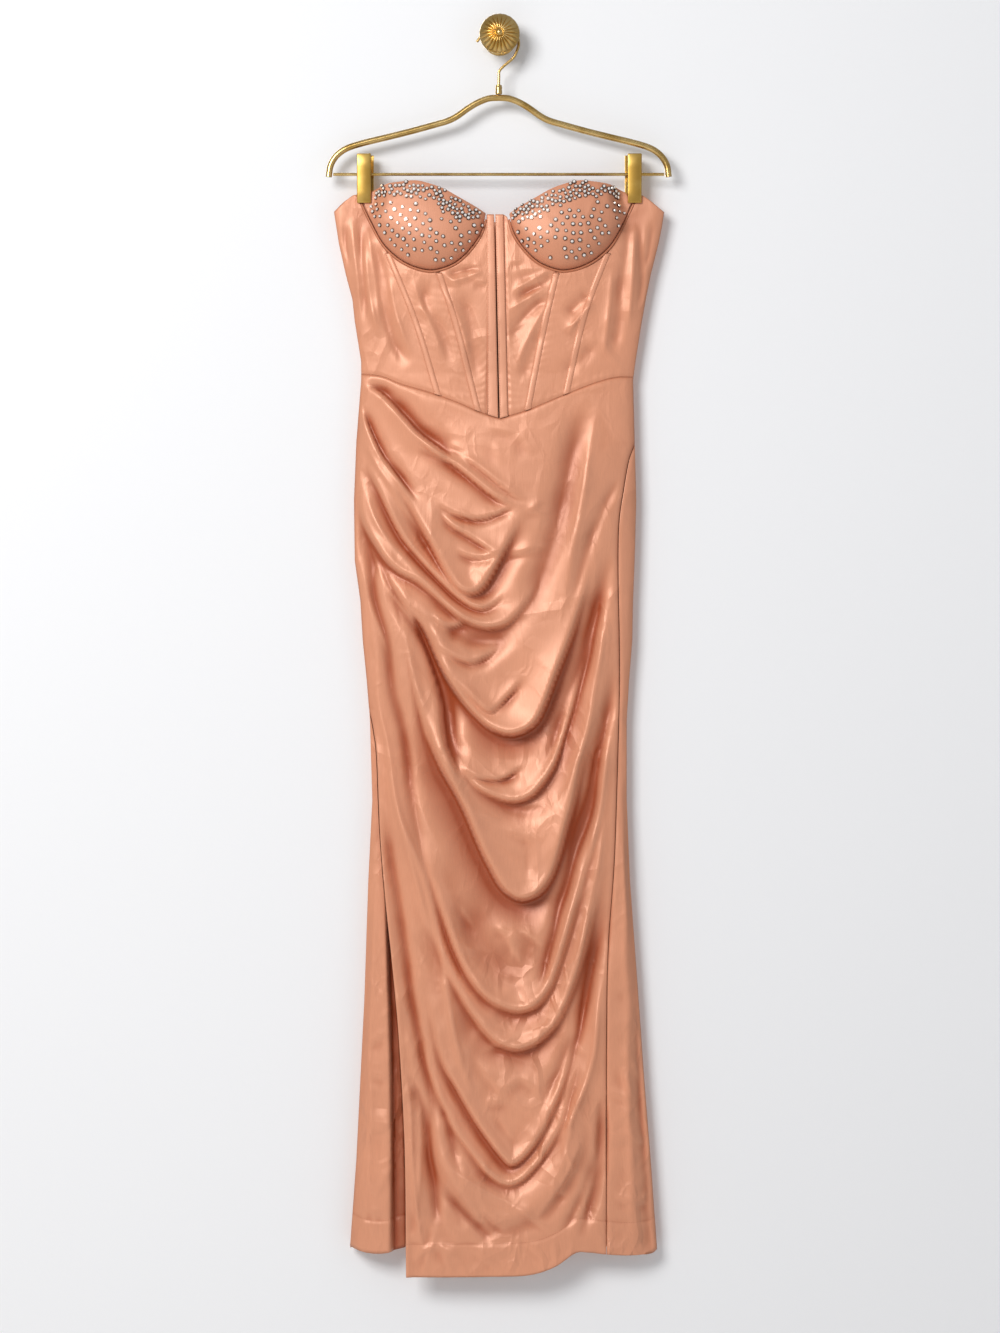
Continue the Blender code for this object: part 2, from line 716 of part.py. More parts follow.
def make_backs(satin, collection):
    for side in (-1, 1):
        word = "left" if side < 0 else "right"
        seam_across = BACK_SEAM + side * SEAM_GAP / 2
        waist = float(waist_drop(-173 if side < 0 else 167))
        for name, top, foot, rows in (
            ("bodice_back_" + word, 221, waist - SEAM_GAP / 2, BODICE_ROWS),
            ("skirt_back_" + word, waist + SEAM_GAP / 2, BACK_HEM_DROP, BACK_ROWS),
        ):
            drops = np.linspace(top, foot, rows + 1)
            outline = np.stack([silhouette(drops, side), drops], axis=1)
            centre = np.stack([np.full_like(drops, seam_across), drops], axis=1)
            left, right = (outline, centre) if side < 0 else (centre, outline)
            steps = eased(BACK_COLUMNS, side < 0, side > 0)
            if name.startswith("bodice"):
                steps = clip_steps(side)
            top_edge = left[0] + (right[0] - left[0]) * steps[:, None]
            foot_edge = left[-1] + (right[-1] - left[-1]) * steps[:, None]
            if name.startswith("bodice"):
                line = dense_line(BACK_TOP)
                top_edge[:, 1] = np.interp(-np.abs(top_edge[:, 0] - BACK_SEAM), line[:, 0], line[:, 1])
                left[:, 1] = np.linspace(top_edge[0, 1], foot, rows + 1)
                right[:, 1] = np.linspace(top_edge[-1, 1], foot, rows + 1)
                edge = left if side < 0 else right
                edge[:, 0] = silhouette(edge[:, 1], side)
            places = patch(top_edge, foot_edge, left, right)
            out = back_out(places[..., 0], places[..., 1])
            places, out = with_back_return(places, out, side)
            cloth(name, places, out, WALL, satin, collection)


# Skirt


def left_edge_of_drape(rows):
    """Down the side seam, then along the free edge beside the slit."""
    seam_foot = DRAPE_FREE_EDGE[0][1]
    line = [(float(silhouette(drop, -1)), drop) for drop in np.linspace(424, seam_foot, 12)[:-1]]
    edge = along(line + DRAPE_FREE_EDGE, np.linspace(0, 1, rows + 1))
    on_seam = edge[:, 1] < seam_foot
    edge[on_seam, 0] = silhouette(edge[on_seam, 1], -1)
    return edge


def right_edge_of_drape(rows):
    """Down the side seam, which swings to the front below the hip."""
    seam_top = RIGHT_SEAM[0][1]
    line = [(float(silhouette(drop, 1)), drop) for drop in np.linspace(428, seam_top, 4)[:-1]]
    edge = along(line + RIGHT_SEAM, np.linspace(0, 1, rows + 1))
    on_seam = edge[:, 1] < seam_top
    edge[on_seam, 0] = silhouette(edge[on_seam, 1], 1)
    return edge


def clear_of_edge(edge, side):
    """How far a panel stays from a turned-back edge, more where the cloth runs round the side."""
    step = 1.0
    near = front_out(edge[:, 0], edge[:, 1])
    far = front_out(edge[:, 0] + side * step, edge[:, 1])
    slope = np.abs(far - near) / step
    tilt = slope / np.sqrt(1 + slope**2)
    return WALL / 2 + SEAM_GAP + 0.1 + WALL / 2 * tilt


def gutter(places):
    """How far the left panel sinks where it rolls under the drape's free edge."""
    across, drop = places[..., 0], places[..., 1]
    line = dense_line(GUTTER_EDGE)
    edge = np.interp(drop, line[:, 1], line[:, 0])
    reach = smoothstep((drop - GUTTER_TOP) / 120)
    return GUTTER_DEPTH * reach * smoothstep((across - edge) / GUTTER_SLOPE)


def make_skirt(satin, collection):
    left = left_edge_of_drape(SKIRT_ROWS)
    right = right_edge_of_drape(SKIRT_ROWS)
    steps = eased(SKIRT_COLUMNS, True, True)
    tip = (WAIST_RIGHT[0][0] - left[0, 0]) / (right[0, 0] - left[0, 0])
    steps[np.abs(steps - tip).argmin()] = tip
    across = left[0, 0] + (right[0, 0] - left[0, 0]) * steps
    top = np.stack([across, waist_drop(across) + SEAM_GAP / 2], axis=1)
    foot = along(DRAPE_HEM, steps)
    left[0], right[0] = top[0], top[-1]
    left[-1], right[-1] = foot[0], foot[-1]
    places = patch(top, foot, left, right)
    out = front_out(places[..., 0], places[..., 1])
    drape_places, drape_out = with_return(places, out, -1)
    drape_places, drape_out = with_return(drape_places, drape_out, 1)
    cloth("skirt_drape", drape_places, drape_out, WALL, satin, collection)

    below = right[right[:, 1] > RIGHT_SEAM[0][1] + 8]
    seam = below + np.stack([clear_of_edge(below, 1), np.zeros(len(below))], axis=1)
    outline = np.stack([silhouette(below[:, 1], 1), below[:, 1]], axis=1)
    outline[-1] = RIGHT_HEM[-1]
    steps = eased(SIDE_PANEL_COLUMNS, False, True)
    top = seam[0] + (outline[0] - seam[0]) * steps[:, None]
    foot = along([tuple(seam[-1]), *RIGHT_HEM[1:]], steps)
    places = patch(top, foot, seam, outline)
    places, out = with_return(places, front_out(places[..., 0], places[..., 1]), 1)
    cloth("skirt_side_right", places, out, WALL, satin, collection)

    below = left[left[:, 1] > LEFT_PANEL_TOP]
    below = below[below[:, 1] < LEFT_HEM[-1][1]]
    seam = below.copy()
    seam[:, 0] -= clear_of_edge(below, -1)
    outline = np.stack([silhouette(below[:, 1], -1), below[:, 1]], axis=1)
    outline[-1] = LEFT_HEM[0]
    seam[-1] = LEFT_HEM[-1]
    top = outline[0] + (seam[0] - outline[0]) * LEFT_PANEL_STEPS[:, None]
    foot = along(LEFT_HEM, LEFT_PANEL_STEPS)
    places = patch(top, foot, outline, seam)
    out = np.maximum(front_out(places[..., 0], places[..., 1]) - gutter(places), GUTTER_LEAST_OUT)
    places, out = with_return(places, out, -1)
    cloth("skirt_side_left", places, out, WALL, satin, collection)


# Hanger, clips and wall hook


def make_hanger(brass, collection):
    half = along(TUBE_LINE, np.linspace(0, 1, TUBE_STEPS // 2 + 1))
    line = np.vstack([half[::-1], half[1:] * [-1, 1]])
    points = [(TUBE_CENTRE + x, d, HANGER_OUT) for x, d in line]
    make_tube("hanger_tube", points, TUBE_RADIUS, 2, brass, collection)

    bar_half = -TUBE_LINE[-2][0] - TUBE_RADIUS + SEAM_GAP
    bar = [(TUBE_CENTRE + side * bar_half, BAR_DROP, HANGER_OUT) for side in (-1, 1)]
    make_tube("hanger_bar", bar, BAR_RADIUS, 2, brass, collection)

    collar = [(TUBE_CENTRE, COLLAR_TOP, HANGER_OUT), (TUBE_CENTRE, COLLAR_FOOT, HANGER_OUT)]
    make_tube("hanger_collar", collar, COLLAR_RADIUS, 3, brass, collection)

    shank = along(HOOK_SHANK, np.linspace(0, 1, 12))
    turn = np.linspace(math.radians(-8), math.radians(152), HOOK_ARC_STEPS + 1)
    arc = np.stack(
        [HOOK_BEND_RADIUS * np.cos(turn), HOOK_BEND_DROP - HOOK_BEND_RADIUS * np.sin(turn)], axis=1
    )
    wire = np.vstack([shank[:-1], arc, HOOK_TIP])
    points = [(x, d, HANGER_OUT) for x, d in wire]
    make_tube("hanger_hook", points, HOOK_RADIUS, 2, brass, collection)


def make_jaw(name, centre, width, top_out, foot_out, flange, brass, collection):
    """A clip jaw: a plate with its two long sides turned in towards the cloth."""
    half = width / 2
    across = np.array([-half, -half, -half + 1.2, half - 1.2, half, half])
    lip = np.array([flange, 0.8, 0, 0, 0.8, flange])
    drops = np.array([CLIP_TOP, CLIP_TOP + 2, CLIP_FOOT - 2, CLIP_FOOT], float)
    share = (drops - CLIP_TOP) / (CLIP_FOOT - CLIP_TOP)
    plate_out = top_out + (foot_out - top_out) * share
    places = np.stack(np.meshgrid(centre + across, drops), axis=2)
    out = plate_out[:, None] - lip[None, :] * (1 if top_out > HANGER_OUT else -1)
    cloth(name, places, out, CLIP_WALL, brass, collection)


def make_clips(brass, collection):
    for side in (-1, 1):
        word = "left" if side < 0 else "right"
        centre = DRESS_CENTRE + 0.5 + side * CLIP_ACROSS
        make_jaw(
            "clip_front_" + word,
            centre,
            CLIP_WIDTH,
            JAW_FRONT_TOP_OUT,
            JAW_FRONT_FOOT_OUT,
            CLIP_FLANGE,
            brass,
            collection,
        )
        make_jaw(
            "clip_back_" + word,
            centre - side * 1.5,
            BACK_JAW_WIDTH,
            JAW_BACK_TOP_OUT,
            JAW_BACK_FOOT_OUT,
            CLIP_FLANGE - 1.2,
            brass,
            collection,
        )
        make_barrel("clip_barrel_" + word, centre, brass, collection)


def make_barrel(name, centre, brass, collection):
    """The spring barrel round the bar: a rectangle turned about the bar's axis."""
    bm = bmesh.new()
    half = BARREL_LENGTH / 2
    corners = [
        (BARREL_OUTER, half),
        (BARREL_OUTER, -half),
        (BARREL_INNER, -half),
        (BARREL_INNER, half),
    ]
    verts = [bm.verts.new((radius * MM, 0, height * MM)) for radius, height in corners]
    for first, second in zip(verts, verts[1:] + verts[:1]):
        bm.edges.new((first, second))
    obj = finish_mesh(name, bm, brass, collection)
    turn_profile(obj, BARREL_SIDES)
    obj.rotation_euler = (0, math.pi / 2, 0)
    obj.location = (centre * MM, -HANGER_OUT * MM, -BAR_DROP * MM)


def turn_profile(obj, steps):
    screw = obj.modifiers.new("turn", "SCREW")
    screw.axis = "Z"
    screw.angle = 2 * math.pi
    screw.steps = steps
    screw.render_steps = steps
    screw.use_merge_vertices = True
    screw.merge_threshold = 0.00001


def turned(name, profile, steps, brass, collection):
    """A turned brass piece whose axis runs straight out of the wall. The profile is (radius, out)."""
    bm = bmesh.new()
    verts = [bm.verts.new((radius * MM, 0, out * MM)) for radius, out in profile]
    for first, second in zip(verts, verts[1:]):
        bm.edges.new((first, second))
    obj = finish_mesh(name, bm, brass, collection)
    turn_profile(obj, steps)
    obj.rotation_euler = (math.pi / 2, 0, 0)
    return obj


def make_wall_hook(brass, collection):
    plate = [(0, PLATE_DEPTH), (PLATE_RADIUS - 1, PLATE_DEPTH), (PLATE_RADIUS, PLATE_DEPTH - 1)]
    plate += [(PLATE_RADIUS, 0), (0, 0)]
    turned("wall_plate", plate, 24, brass, collection)

    start = PLATE_DEPTH + SEAM_GAP
    stem = [(0, STEM_END), (STEM_RADIUS, STEM_END), (STEM_RADIUS, HANGER_OUT + 5)]
    stem += [(STEM_GROOVE, HANGER_OUT + 2), (STEM_GROOVE, HANGER_OUT - 2)]
    stem += [(STEM_RADIUS, HANGER_OUT - 5), (STEM_RADIUS, start), (0, start)]
    turned("wall_stem", stem, 20, brass, collection)
    make_knob(brass, collection)


def make_knob(brass, collection):
    """A shallow dome with flutes that run from its boss to its rim, over a flat back."""
    sides = KNOB_FLUTES * 2
    back = STEM_END + SEAM_GAP
    rings = [(BOSS_RADIUS + 1, 0.98), (12, 0.86), (19, 0.6), (KNOB_RADIUS - 1.5, 0.32), (KNOB_RADIUS, 0.18)]
    bm = bmesh.new()
    bmesh.ops.create_cone(
        bm,
        cap_ends=True,
        cap_tris=False,
        segments=sides,
        radius1=KNOB_RADIUS * MM,
        radius2=KNOB_RADIUS * MM,
        depth=KNOB_DEPTH * MM,
    )
    top = max(bm.faces, key=lambda face: face.calc_center_median().z)
    for _ in rings[:-1]:
        bmesh.ops.inset_region(bm, faces=[top], thickness=MM, use_even_offset=True)
    shape_knob(bm, rings, sides)
    obj = finish_mesh("wall_knob", bm, brass, collection)
    obj.rotation_euler = (math.pi / 2, 0, 0)
    obj.location = (0, -back * MM, 0)


def shape_knob(bm, rings, sides):
    """Moves the inset rings of the cylinder's top to the dome, every other point sunk as a flute."""
    base = min(vert.co.z for vert in bm.verts)
    low = [vert for vert in bm.verts if vert.co.z - base < 0.1 * KNOB_DEPTH * MM]
    high = [vert for vert in bm.verts if vert not in low]
    high.sort(key=lambda vert: -math.hypot(vert.co.x, vert.co.y))
    for vert in low:
        vert.co.z = 0
    for index, (radius, rise) in enumerate(reversed(rings)):
        for vert in high[index * sides : (index + 1) * sides]:
            angle = math.atan2(vert.co.y, vert.co.x)
            step = round(angle / (2 * math.pi) * sides)
            sunk = KNOB_FLUTE_DEPTH * (step % 2) * (1 if radius > BOSS_RADIUS + 2 else 0.3)
            turn = step * 2 * math.pi / sides
            vert.co.x = radius * math.cos(turn) * MM
            vert.co.y = radius * math.sin(turn) * MM
            vert.co.z = (KNOB_DEPTH * rise - sunk) * MM


def main():
    clear_scene()
    dress = bpy.data.collections.new("prom_dress_on_hanger")
    bpy.context.scene.collection.children.link(dress)
    satin = make_material("satin", SATIN_COLOUR, 0.35, 0.0)
    binding = make_material("satin_binding", BINDING_COLOUR, 0.4, 0.0)
    brass = make_material("brass", BRASS_COLOUR, 0.25, 1.0)
    make_bodice(satin, dress)
    for side in (-1, 1):
        make_cup(side, satin, binding, dress)
    make_backs(satin, dress)
    make_skirt(satin, dress)
    make_hanger(brass, dress)
    make_clips(brass, dress)
    make_wall_hook(brass, dress)


main()
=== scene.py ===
import math
from collections import namedtuple
from functools import partial

import bmesh
import bpy
import numpy as np
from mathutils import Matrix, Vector


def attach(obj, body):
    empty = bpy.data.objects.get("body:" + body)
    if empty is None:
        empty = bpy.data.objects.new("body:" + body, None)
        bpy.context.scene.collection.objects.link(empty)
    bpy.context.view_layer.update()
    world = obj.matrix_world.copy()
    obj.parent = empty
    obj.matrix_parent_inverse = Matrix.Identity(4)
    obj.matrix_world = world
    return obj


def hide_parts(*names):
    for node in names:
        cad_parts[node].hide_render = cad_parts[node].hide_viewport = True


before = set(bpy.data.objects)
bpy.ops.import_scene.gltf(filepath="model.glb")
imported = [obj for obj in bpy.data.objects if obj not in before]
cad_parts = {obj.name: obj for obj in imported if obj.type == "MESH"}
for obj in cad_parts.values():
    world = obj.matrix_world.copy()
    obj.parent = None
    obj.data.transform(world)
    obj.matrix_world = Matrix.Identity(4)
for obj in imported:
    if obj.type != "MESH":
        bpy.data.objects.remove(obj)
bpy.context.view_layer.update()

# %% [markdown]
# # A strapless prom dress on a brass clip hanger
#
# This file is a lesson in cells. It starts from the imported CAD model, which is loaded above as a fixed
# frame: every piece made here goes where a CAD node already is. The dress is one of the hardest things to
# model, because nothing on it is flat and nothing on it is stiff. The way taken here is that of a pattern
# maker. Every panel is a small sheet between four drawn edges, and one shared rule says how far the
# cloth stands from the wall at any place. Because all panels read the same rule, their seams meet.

MM = 0.001

# %% [markdown]
# ## Places
#
# A place on the dress is given as a pattern maker would chalk it on the wall behind: **across**, to the
# viewer's right, and **drop**, down from the middle of the wall hook. A third number, **out**, is how far
# the cloth stands from the wall. All three are millimetres, and one line turns them to metres.


# %% Places in metres
def in_metres(across, drop, out):
    """Arrays of places on the dress as points in the CAD model's frame."""
    return np.stack([np.asarray(across), -np.asarray(out), -np.asarray(drop)], axis=-1) * MM


def split(places):
    """The across and the drop of an array of places."""
    return places[..., 0], places[..., 1]


def placed(name, data):
    """A new object for this data, linked into the scene."""
    made = bpy.data.objects.new(name, data)
    bpy.context.scene.collection.objects.link(made)
    return made


def word_of(side):
    return "left" if side < 0 else "right"


print("the hook's middle is at", in_metres(0, 0, 0))

# %% [markdown]
# ## Colours
#
# Colours are written as sRGB hex, the way a colour picker shows them. Shaders work with linear light, so
# one function turns the one to the other. The satin is a warm peach; painted shade turns its folds a burnt
# orange.


# %% Colours
def colour(code):
    """An sRGB hex colour as linear red, green, blue and alpha."""
    parts = [int(code[i : i + 2], 16) / 255 for i in (1, 3, 5)]
    return (*[c / 12.92 if c <= 0.04045 else ((c + 0.055) / 1.055) ** 2.4 for c in parts], 1)


print("mid grey in linear light:", [round(c, 3) for c in colour("#808080")])

# %% [markdown]
# ## The camera
#
# The dress was photographed straight on from a few metres away with a long lens, so its sides don't
# converge. The camera is put 4 m in front of the cloth, level with the middle of the picture, and the lens
# is worked out from how much of the wall the picture's long side covers.

# %% The camera
CAMERA_ACROSS = 0.6
CAMERA_DROP = 790.6
CAMERA_OUT = 4020
CLOTH_OUT = 34
PICTURE_HEIGHT = 1666
SENSOR = 36

camera_data = bpy.data.cameras.new("camera")
camera_data.sensor_width = SENSOR
camera_data.lens = SENSOR * (CAMERA_OUT - CLOTH_OUT) / PICTURE_HEIGHT
camera = placed("camera", camera_data)
camera.location = in_metres(CAMERA_ACROSS, CAMERA_DROP, CAMERA_OUT)
camera.rotation_euler = (math.radians(90), 0, 0)
bpy.context.scene.camera = camera
bpy.context.scene.view_settings.view_transform = "Standard"
print("lens:", round(camera_data.lens, 1), "mm")

# %% [markdown]
# ## One helper for nodes
#
# Materials and Geometry Nodes trees are both node trees. One helper adds a node, sets its settings, and
# either fills an input with a value or links it to another node's output.


# %% Adding a node
def add_node(tree, kind, inputs=None, **settings):
    made = tree.nodes.new(kind)
    for name, value in settings.items():
        setattr(made, name, value)
    for name, value in (inputs or {}).items():
        if isinstance(value, bpy.types.NodeSocket):
            tree.links.new(value, made.inputs[name])
        else:
            made.inputs[name].default_value = value
    return made


def new_material(name, **values):
    """A material, its tree and its shader, with plain values on the shader's own sockets."""
    material = bpy.data.materials.new(name)
    material.use_nodes = True
    tree = material.node_tree
    shader = tree.nodes["Principled BSDF"]
    for key, value in values.items():
        shader.inputs[key.replace("_", " ")].default_value = value
    return material, tree, shader


def wire(tree, shader, **outputs):
    """Links outputs to the inputs of these names."""
    for name, output in outputs.items():
        tree.links.new(output, shader.inputs[name.replace("_", " ")])


def mapped(tree, value, to_low, to_high, from_low=0.0, from_high=1.0):
    """Turns one range of values into another."""
    ranges = {"From Min": from_low, "From Max": from_high, "To Min": to_low, "To Max": to_high}
    return add_node(tree, "ShaderNodeMapRange", {"Value": value, **ranges}).outputs[0]


def combined(tree, first, second, operation="MULTIPLY"):
    return add_node(tree, "ShaderNodeMath", {0: first, 1: second}, operation=operation).outputs[0]


def two_tones(tree, value, low, high, start):
    """A blend of two colours, from start to as far beyond the middle."""
    ramp = add_node(tree, "ShaderNodeValToRGB", {"Fac": value})
    for element, code, position in zip(ramp.color_ramp.elements, (low, high), (start, 1 - start)):
        element.position = position
        element.color = colour(code)
    return ramp.outputs[0]


def object_noise(tree, scale, detail=2.0):
    """Noise that follows the object's own coordinates, in metres."""
    here = add_node(tree, "ShaderNodeTexCoord").outputs["Object"]
    inputs = {"Vector": here, "Scale": scale, "Detail": detail}
    return add_node(tree, "ShaderNodeTexNoise", inputs).outputs[0]


print("helpers for nodes are ready")

# %% [markdown]
# ## The stage
#
# A pale wall behind and a pale floor below, lit by one large soft lamp from the upper left, as window
# light would, and a weaker one from the right. The wall takes the dress's soft shadow. It is only there
# for the camera in front: its back is see-through, and it neither blocks nor bounces light, so that the
# back of the dress can be looked at too.

# %% Wall and floor
WALL_COLOUR = "#F1F3F6"
FLOOR_DROP = 1985
STAGE_HALF = 6000


def stage_sheet(name, corners, material):
    mesh = bpy.data.meshes.new(name)
    mesh.from_pydata([tuple(point) for point in corners], [], [(0, 1, 2, 3)])
    mesh.materials.append(material)
    sheet = placed(name, mesh)
    return sheet


plaster, tree, shader = new_material("painted_plaster", Roughness=0.9, Base_Color=colour(WALL_COLOUR))
grain = object_noise(tree, 260.0, 3.0)
bump = add_node(tree, "ShaderNodeBump", {"Height": grain, "Strength": 0.15, "Distance": 0.0006})
wire(tree, shader, Normal=bump.outputs[0])
clear = add_node(tree, "ShaderNodeBsdfTransparent")
facing = add_node(tree, "ShaderNodeNewGeometry")
sides = {0: facing.outputs["Backfacing"], 1: shader.outputs[0], 2: clear.outputs[0]}
one_sided = add_node(tree, "ShaderNodeMixShader", sides)
wire(tree, tree.nodes["Material Output"], Surface=one_sided.outputs[0])

S = STAGE_HALF
wall_corners = in_metres([-S, -S, S, S], [-S, FLOOR_DROP, FLOOR_DROP, -S], [0] * 4)
wall = stage_sheet("backdrop_wall", wall_corners, plaster)
for light_path in ("visible_diffuse", "visible_glossy", "visible_transmission", "visible_shadow"):
    setattr(wall, light_path, False)
floor_paint, _, _ = new_material("pale_floor", Roughness=0.7, Base_Color=colour("#E9E7E4"))
stage_sheet("floor", in_metres([-S, S, S, -S], [FLOOR_DROP] * 4, [S, S, -S, -S]), floor_paint)
print("stage: wall and floor,", FLOOR_DROP, "mm below the hook")

# %% Lamps
Lamp = namedtuple("Lamp", "name across drop out width height watts tint")
LAMPS = [
    Lamp("key_softbox", -1750, -900, 3150, 1700, 1400, 108, "#FFFDFB"),
    Lamp("fill_softbox", 2600, 500, 2400, 1200, 2200, 5, "#F4F7FF"),
    Lamp("back_softbox", -900, -600, -2600, 1600, 1600, 30, "#FFFFFF"),
]
WORLD_LIGHT = 0.39
DRESS_MIDDLE = (0, 800, 20)


def aim_at_dress(lamp_object, across, drop, out):
    """Turns a lamp so that its face looks at the middle of the dress."""
    here = Vector(in_metres(across, drop, out))
    there = Vector(in_metres(*DRESS_MIDDLE))
    lamp_object.rotation_euler = (there - here).to_track_quat("-Z", "Y").to_euler()
    lamp_object.location = here


for row in LAMPS:
    lamp = bpy.data.lights.new(row.name, "AREA")
    lamp.shape = "RECTANGLE"
    lamp.size = row.width * MM
    lamp.size_y = row.height * MM
    lamp.energy = row.watts
    lamp.color = colour(row.tint)[:3]
    aim_at_dress(placed(row.name, lamp), row.across, row.drop, row.out)

world = bpy.data.worlds.new("studio")
world.use_nodes = True
background = world.node_tree.nodes["Background"]
background.inputs["Color"].default_value = colour("#F4F4F6")
background.inputs["Strength"].default_value = WORLD_LIGHT
bpy.context.scene.world = world
print(len(LAMPS), "lamps and the world's light of", WORLD_LIGHT)

# %% [markdown]
# ## Drawn lines
#
# Seams, hems and folds are all smooth lines through a few named places. A Catmull-Rom line passes through
# every place it is given, so a seam can be drawn by reading its places off the real dress. Two more
# functions give places along such a line, by its length or by how far down they are.


# %% Smooth lines through a few places
def dense_line(places, per_span=16):
    """A smooth line through the places, as many close points."""
    points = np.array(places, float)
    if len(points) < 3:
        return points
    ends = np.vstack([2 * points[0] - points[1], points, 2 * points[-1] - points[-2]])
    steps = np.linspace(0, 1, per_span, endpoint=False)[:, None]
    spans = []
    for a, b, c, d in zip(ends, ends[1:], ends[2:], ends[3:]):
        bend = 2 * a - 5 * b + 4 * c - d
        twist = 3 * (b - c) + d - a
        spans.append(0.5 * (2 * b + (c - a) * steps + bend * steps**2 + twist * steps**3))
    return np.vstack([*spans, points[-1:]])


def run_along(line):
    """How far each point of a line is from its start, along it."""
    return np.concatenate([[0], np.cumsum(np.linalg.norm(np.diff(line, axis=0), axis=1))])


def spaced(line, fractions):
    """The points at these fractions of the length of a line that is already dense, or has corners."""
    line = np.asarray(line, float)
    lengths = run_along(line)
    reach = np.asarray(fractions) * lengths[-1]
    return np.stack([np.interp(reach, lengths, line[:, k]) for k in range(line.shape[1])], axis=1)


def along(places, fractions):
    return spaced(dense_line(places), fractions)


def smoothstep(value):
    t = np.clip(value, 0, 1)
    return t * t * (3 - 2 * t)


def eased(count, towards_start, towards_end):
    """Fractions from 0 to 1 that crowd towards the ends where the cloth curves round."""
    steps = np.linspace(0, 1, count + 1)
    if towards_start and towards_end:
        round_steps = 0.5 - 0.5 * np.cos(math.pi * steps)
    elif towards_start:
        round_steps = 1 - np.cos(0.5 * math.pi * steps)
    elif towards_end:
        round_steps = np.sin(0.5 * math.pi * steps)
    else:
        return steps
    return (steps + round_steps) / 2


print("a line through 3 places has", len(dense_line([(0, 0), (1, 2), (3, 3)])), "points")

# %% [markdown]
# ## The dress's outline and its roundness
#
# An empty dress on a hanger is a flattened tube. Its outline from the front is a table of widths, and its
# middle stands out from the wall by a second table. Between the two sides the front is rounded like a
# flattened arch. The sides themselves lie nearly edge to edge, where front and back meet at the side seam.

# %% Outline and depth
SIDE_RETURN = 2.5
SIDE_OUT = 15.0
BACK_OUT = 7.5
SEAM_GAP = 0.3
SIDE_FULLNESS = 3.0
SIDE_TOP_DROP = 221
DRESS_CENTRE = -2.5

Level = namedtuple("Level", "drop left right")
OUTLINE = [Level(*row) for row in [
    (221, -207, 206), (240, -204, 203), (260, -201, 199), (300, -192, 189), (330, -184, 183),
    (358, -181, 178), (408, -173, 170), (432, -173, 167), (508, -179, 169), (582, -182, 171),
    (658, -181, 169), (708, -174, 167), (758, -171, 166), (808, -166, 162), (858, -162, 159),
    (958, -159, 159), (1058, -164, 163), (1208, -169, 174), (1308, -174, 181), (1408, -179, 189),
    (1520, -187, 197), (1600, -193, 203),
]]
Bulge = namedtuple("Bulge", "drop out")
FRONT_DEPTH = [Bulge(*row) for row in [
    (185, 31), (226, 37), (300, 42), (360, 40), (424, 37), (481, 38), (560, 43), (700, 43), (900, 40),
    (1200, 41), (1560, 47),
]]


def silhouette(drop, side):
    widths = [row.left if side < 0 else row.right for row in OUTLINE]
    return np.interp(drop, [row.drop for row in OUTLINE], widths)


def outline_at(drops, side):
    return np.stack([silhouette(drops, side), drops], axis=1)


def side_share(across, drop):
    """0 at the dress's middle line and 1 at its outline."""
    left = silhouette(drop, -1)
    right = silhouette(drop, 1)
    return np.clip(np.abs(across - (left + right) / 2) / ((right - left) / 2), 0, 1)


def roundness(share):
    return np.sqrt(np.clip(1 - share**SIDE_FULLNESS, 0, 1))


print("bust", silhouette(SIDE_TOP_DROP, 1) - silhouette(SIDE_TOP_DROP, -1), "mm wide, lying flat")

# %% [markdown]
# ## Folds
#
# Satin hangs in long folds that sweep from the pleats at one hip across to the other side. A fold of
# heavy satin isn't a sine wave: it swells gently on one side of its crest, falls steeply on the other, and
# a dark hollow lies under the fall. Each fold here is a row of a table: how high its crest is, how wide it
# is on its gentle side (inner) and its steep side (outer), how deep the hollow is (dip) and how soon the
# cloth recovers from it, then the places its crest runs through. A row with a height below 0 is a
# trough. Read from its start to its end, a line's outer side is on its right hand as it runs on the page.
#
# Simulation could make such folds, but it would not put them where they are on this dress, and the way
# they sweep is what makes this gown recognisable. So they are drawn.

# %% The table of folds
Fold = namedtuple("Fold", "name height inner outer dip recover places")
Crease = namedtuple("Crease", "across drop to_across to_drop height width")


def table_rows(text):
    """Each row's words before and after its colon. A line that starts with a space carries on its row."""
    for row in text.strip().replace("\n ", " ").split("\n"):
        head, _, tail = row.partition(":")
        yield head.split(), [tuple(float(number) for number in item.split(",")) for item in tail.split()]


def fold_table(text):
    return [Fold(head[0], *[float(size) for size in head[1:]], places) for head, places in table_rows(text)]


def crease_table(text):
    return [Crease(*crease) for _, creases in table_rows(text) for crease in creases]


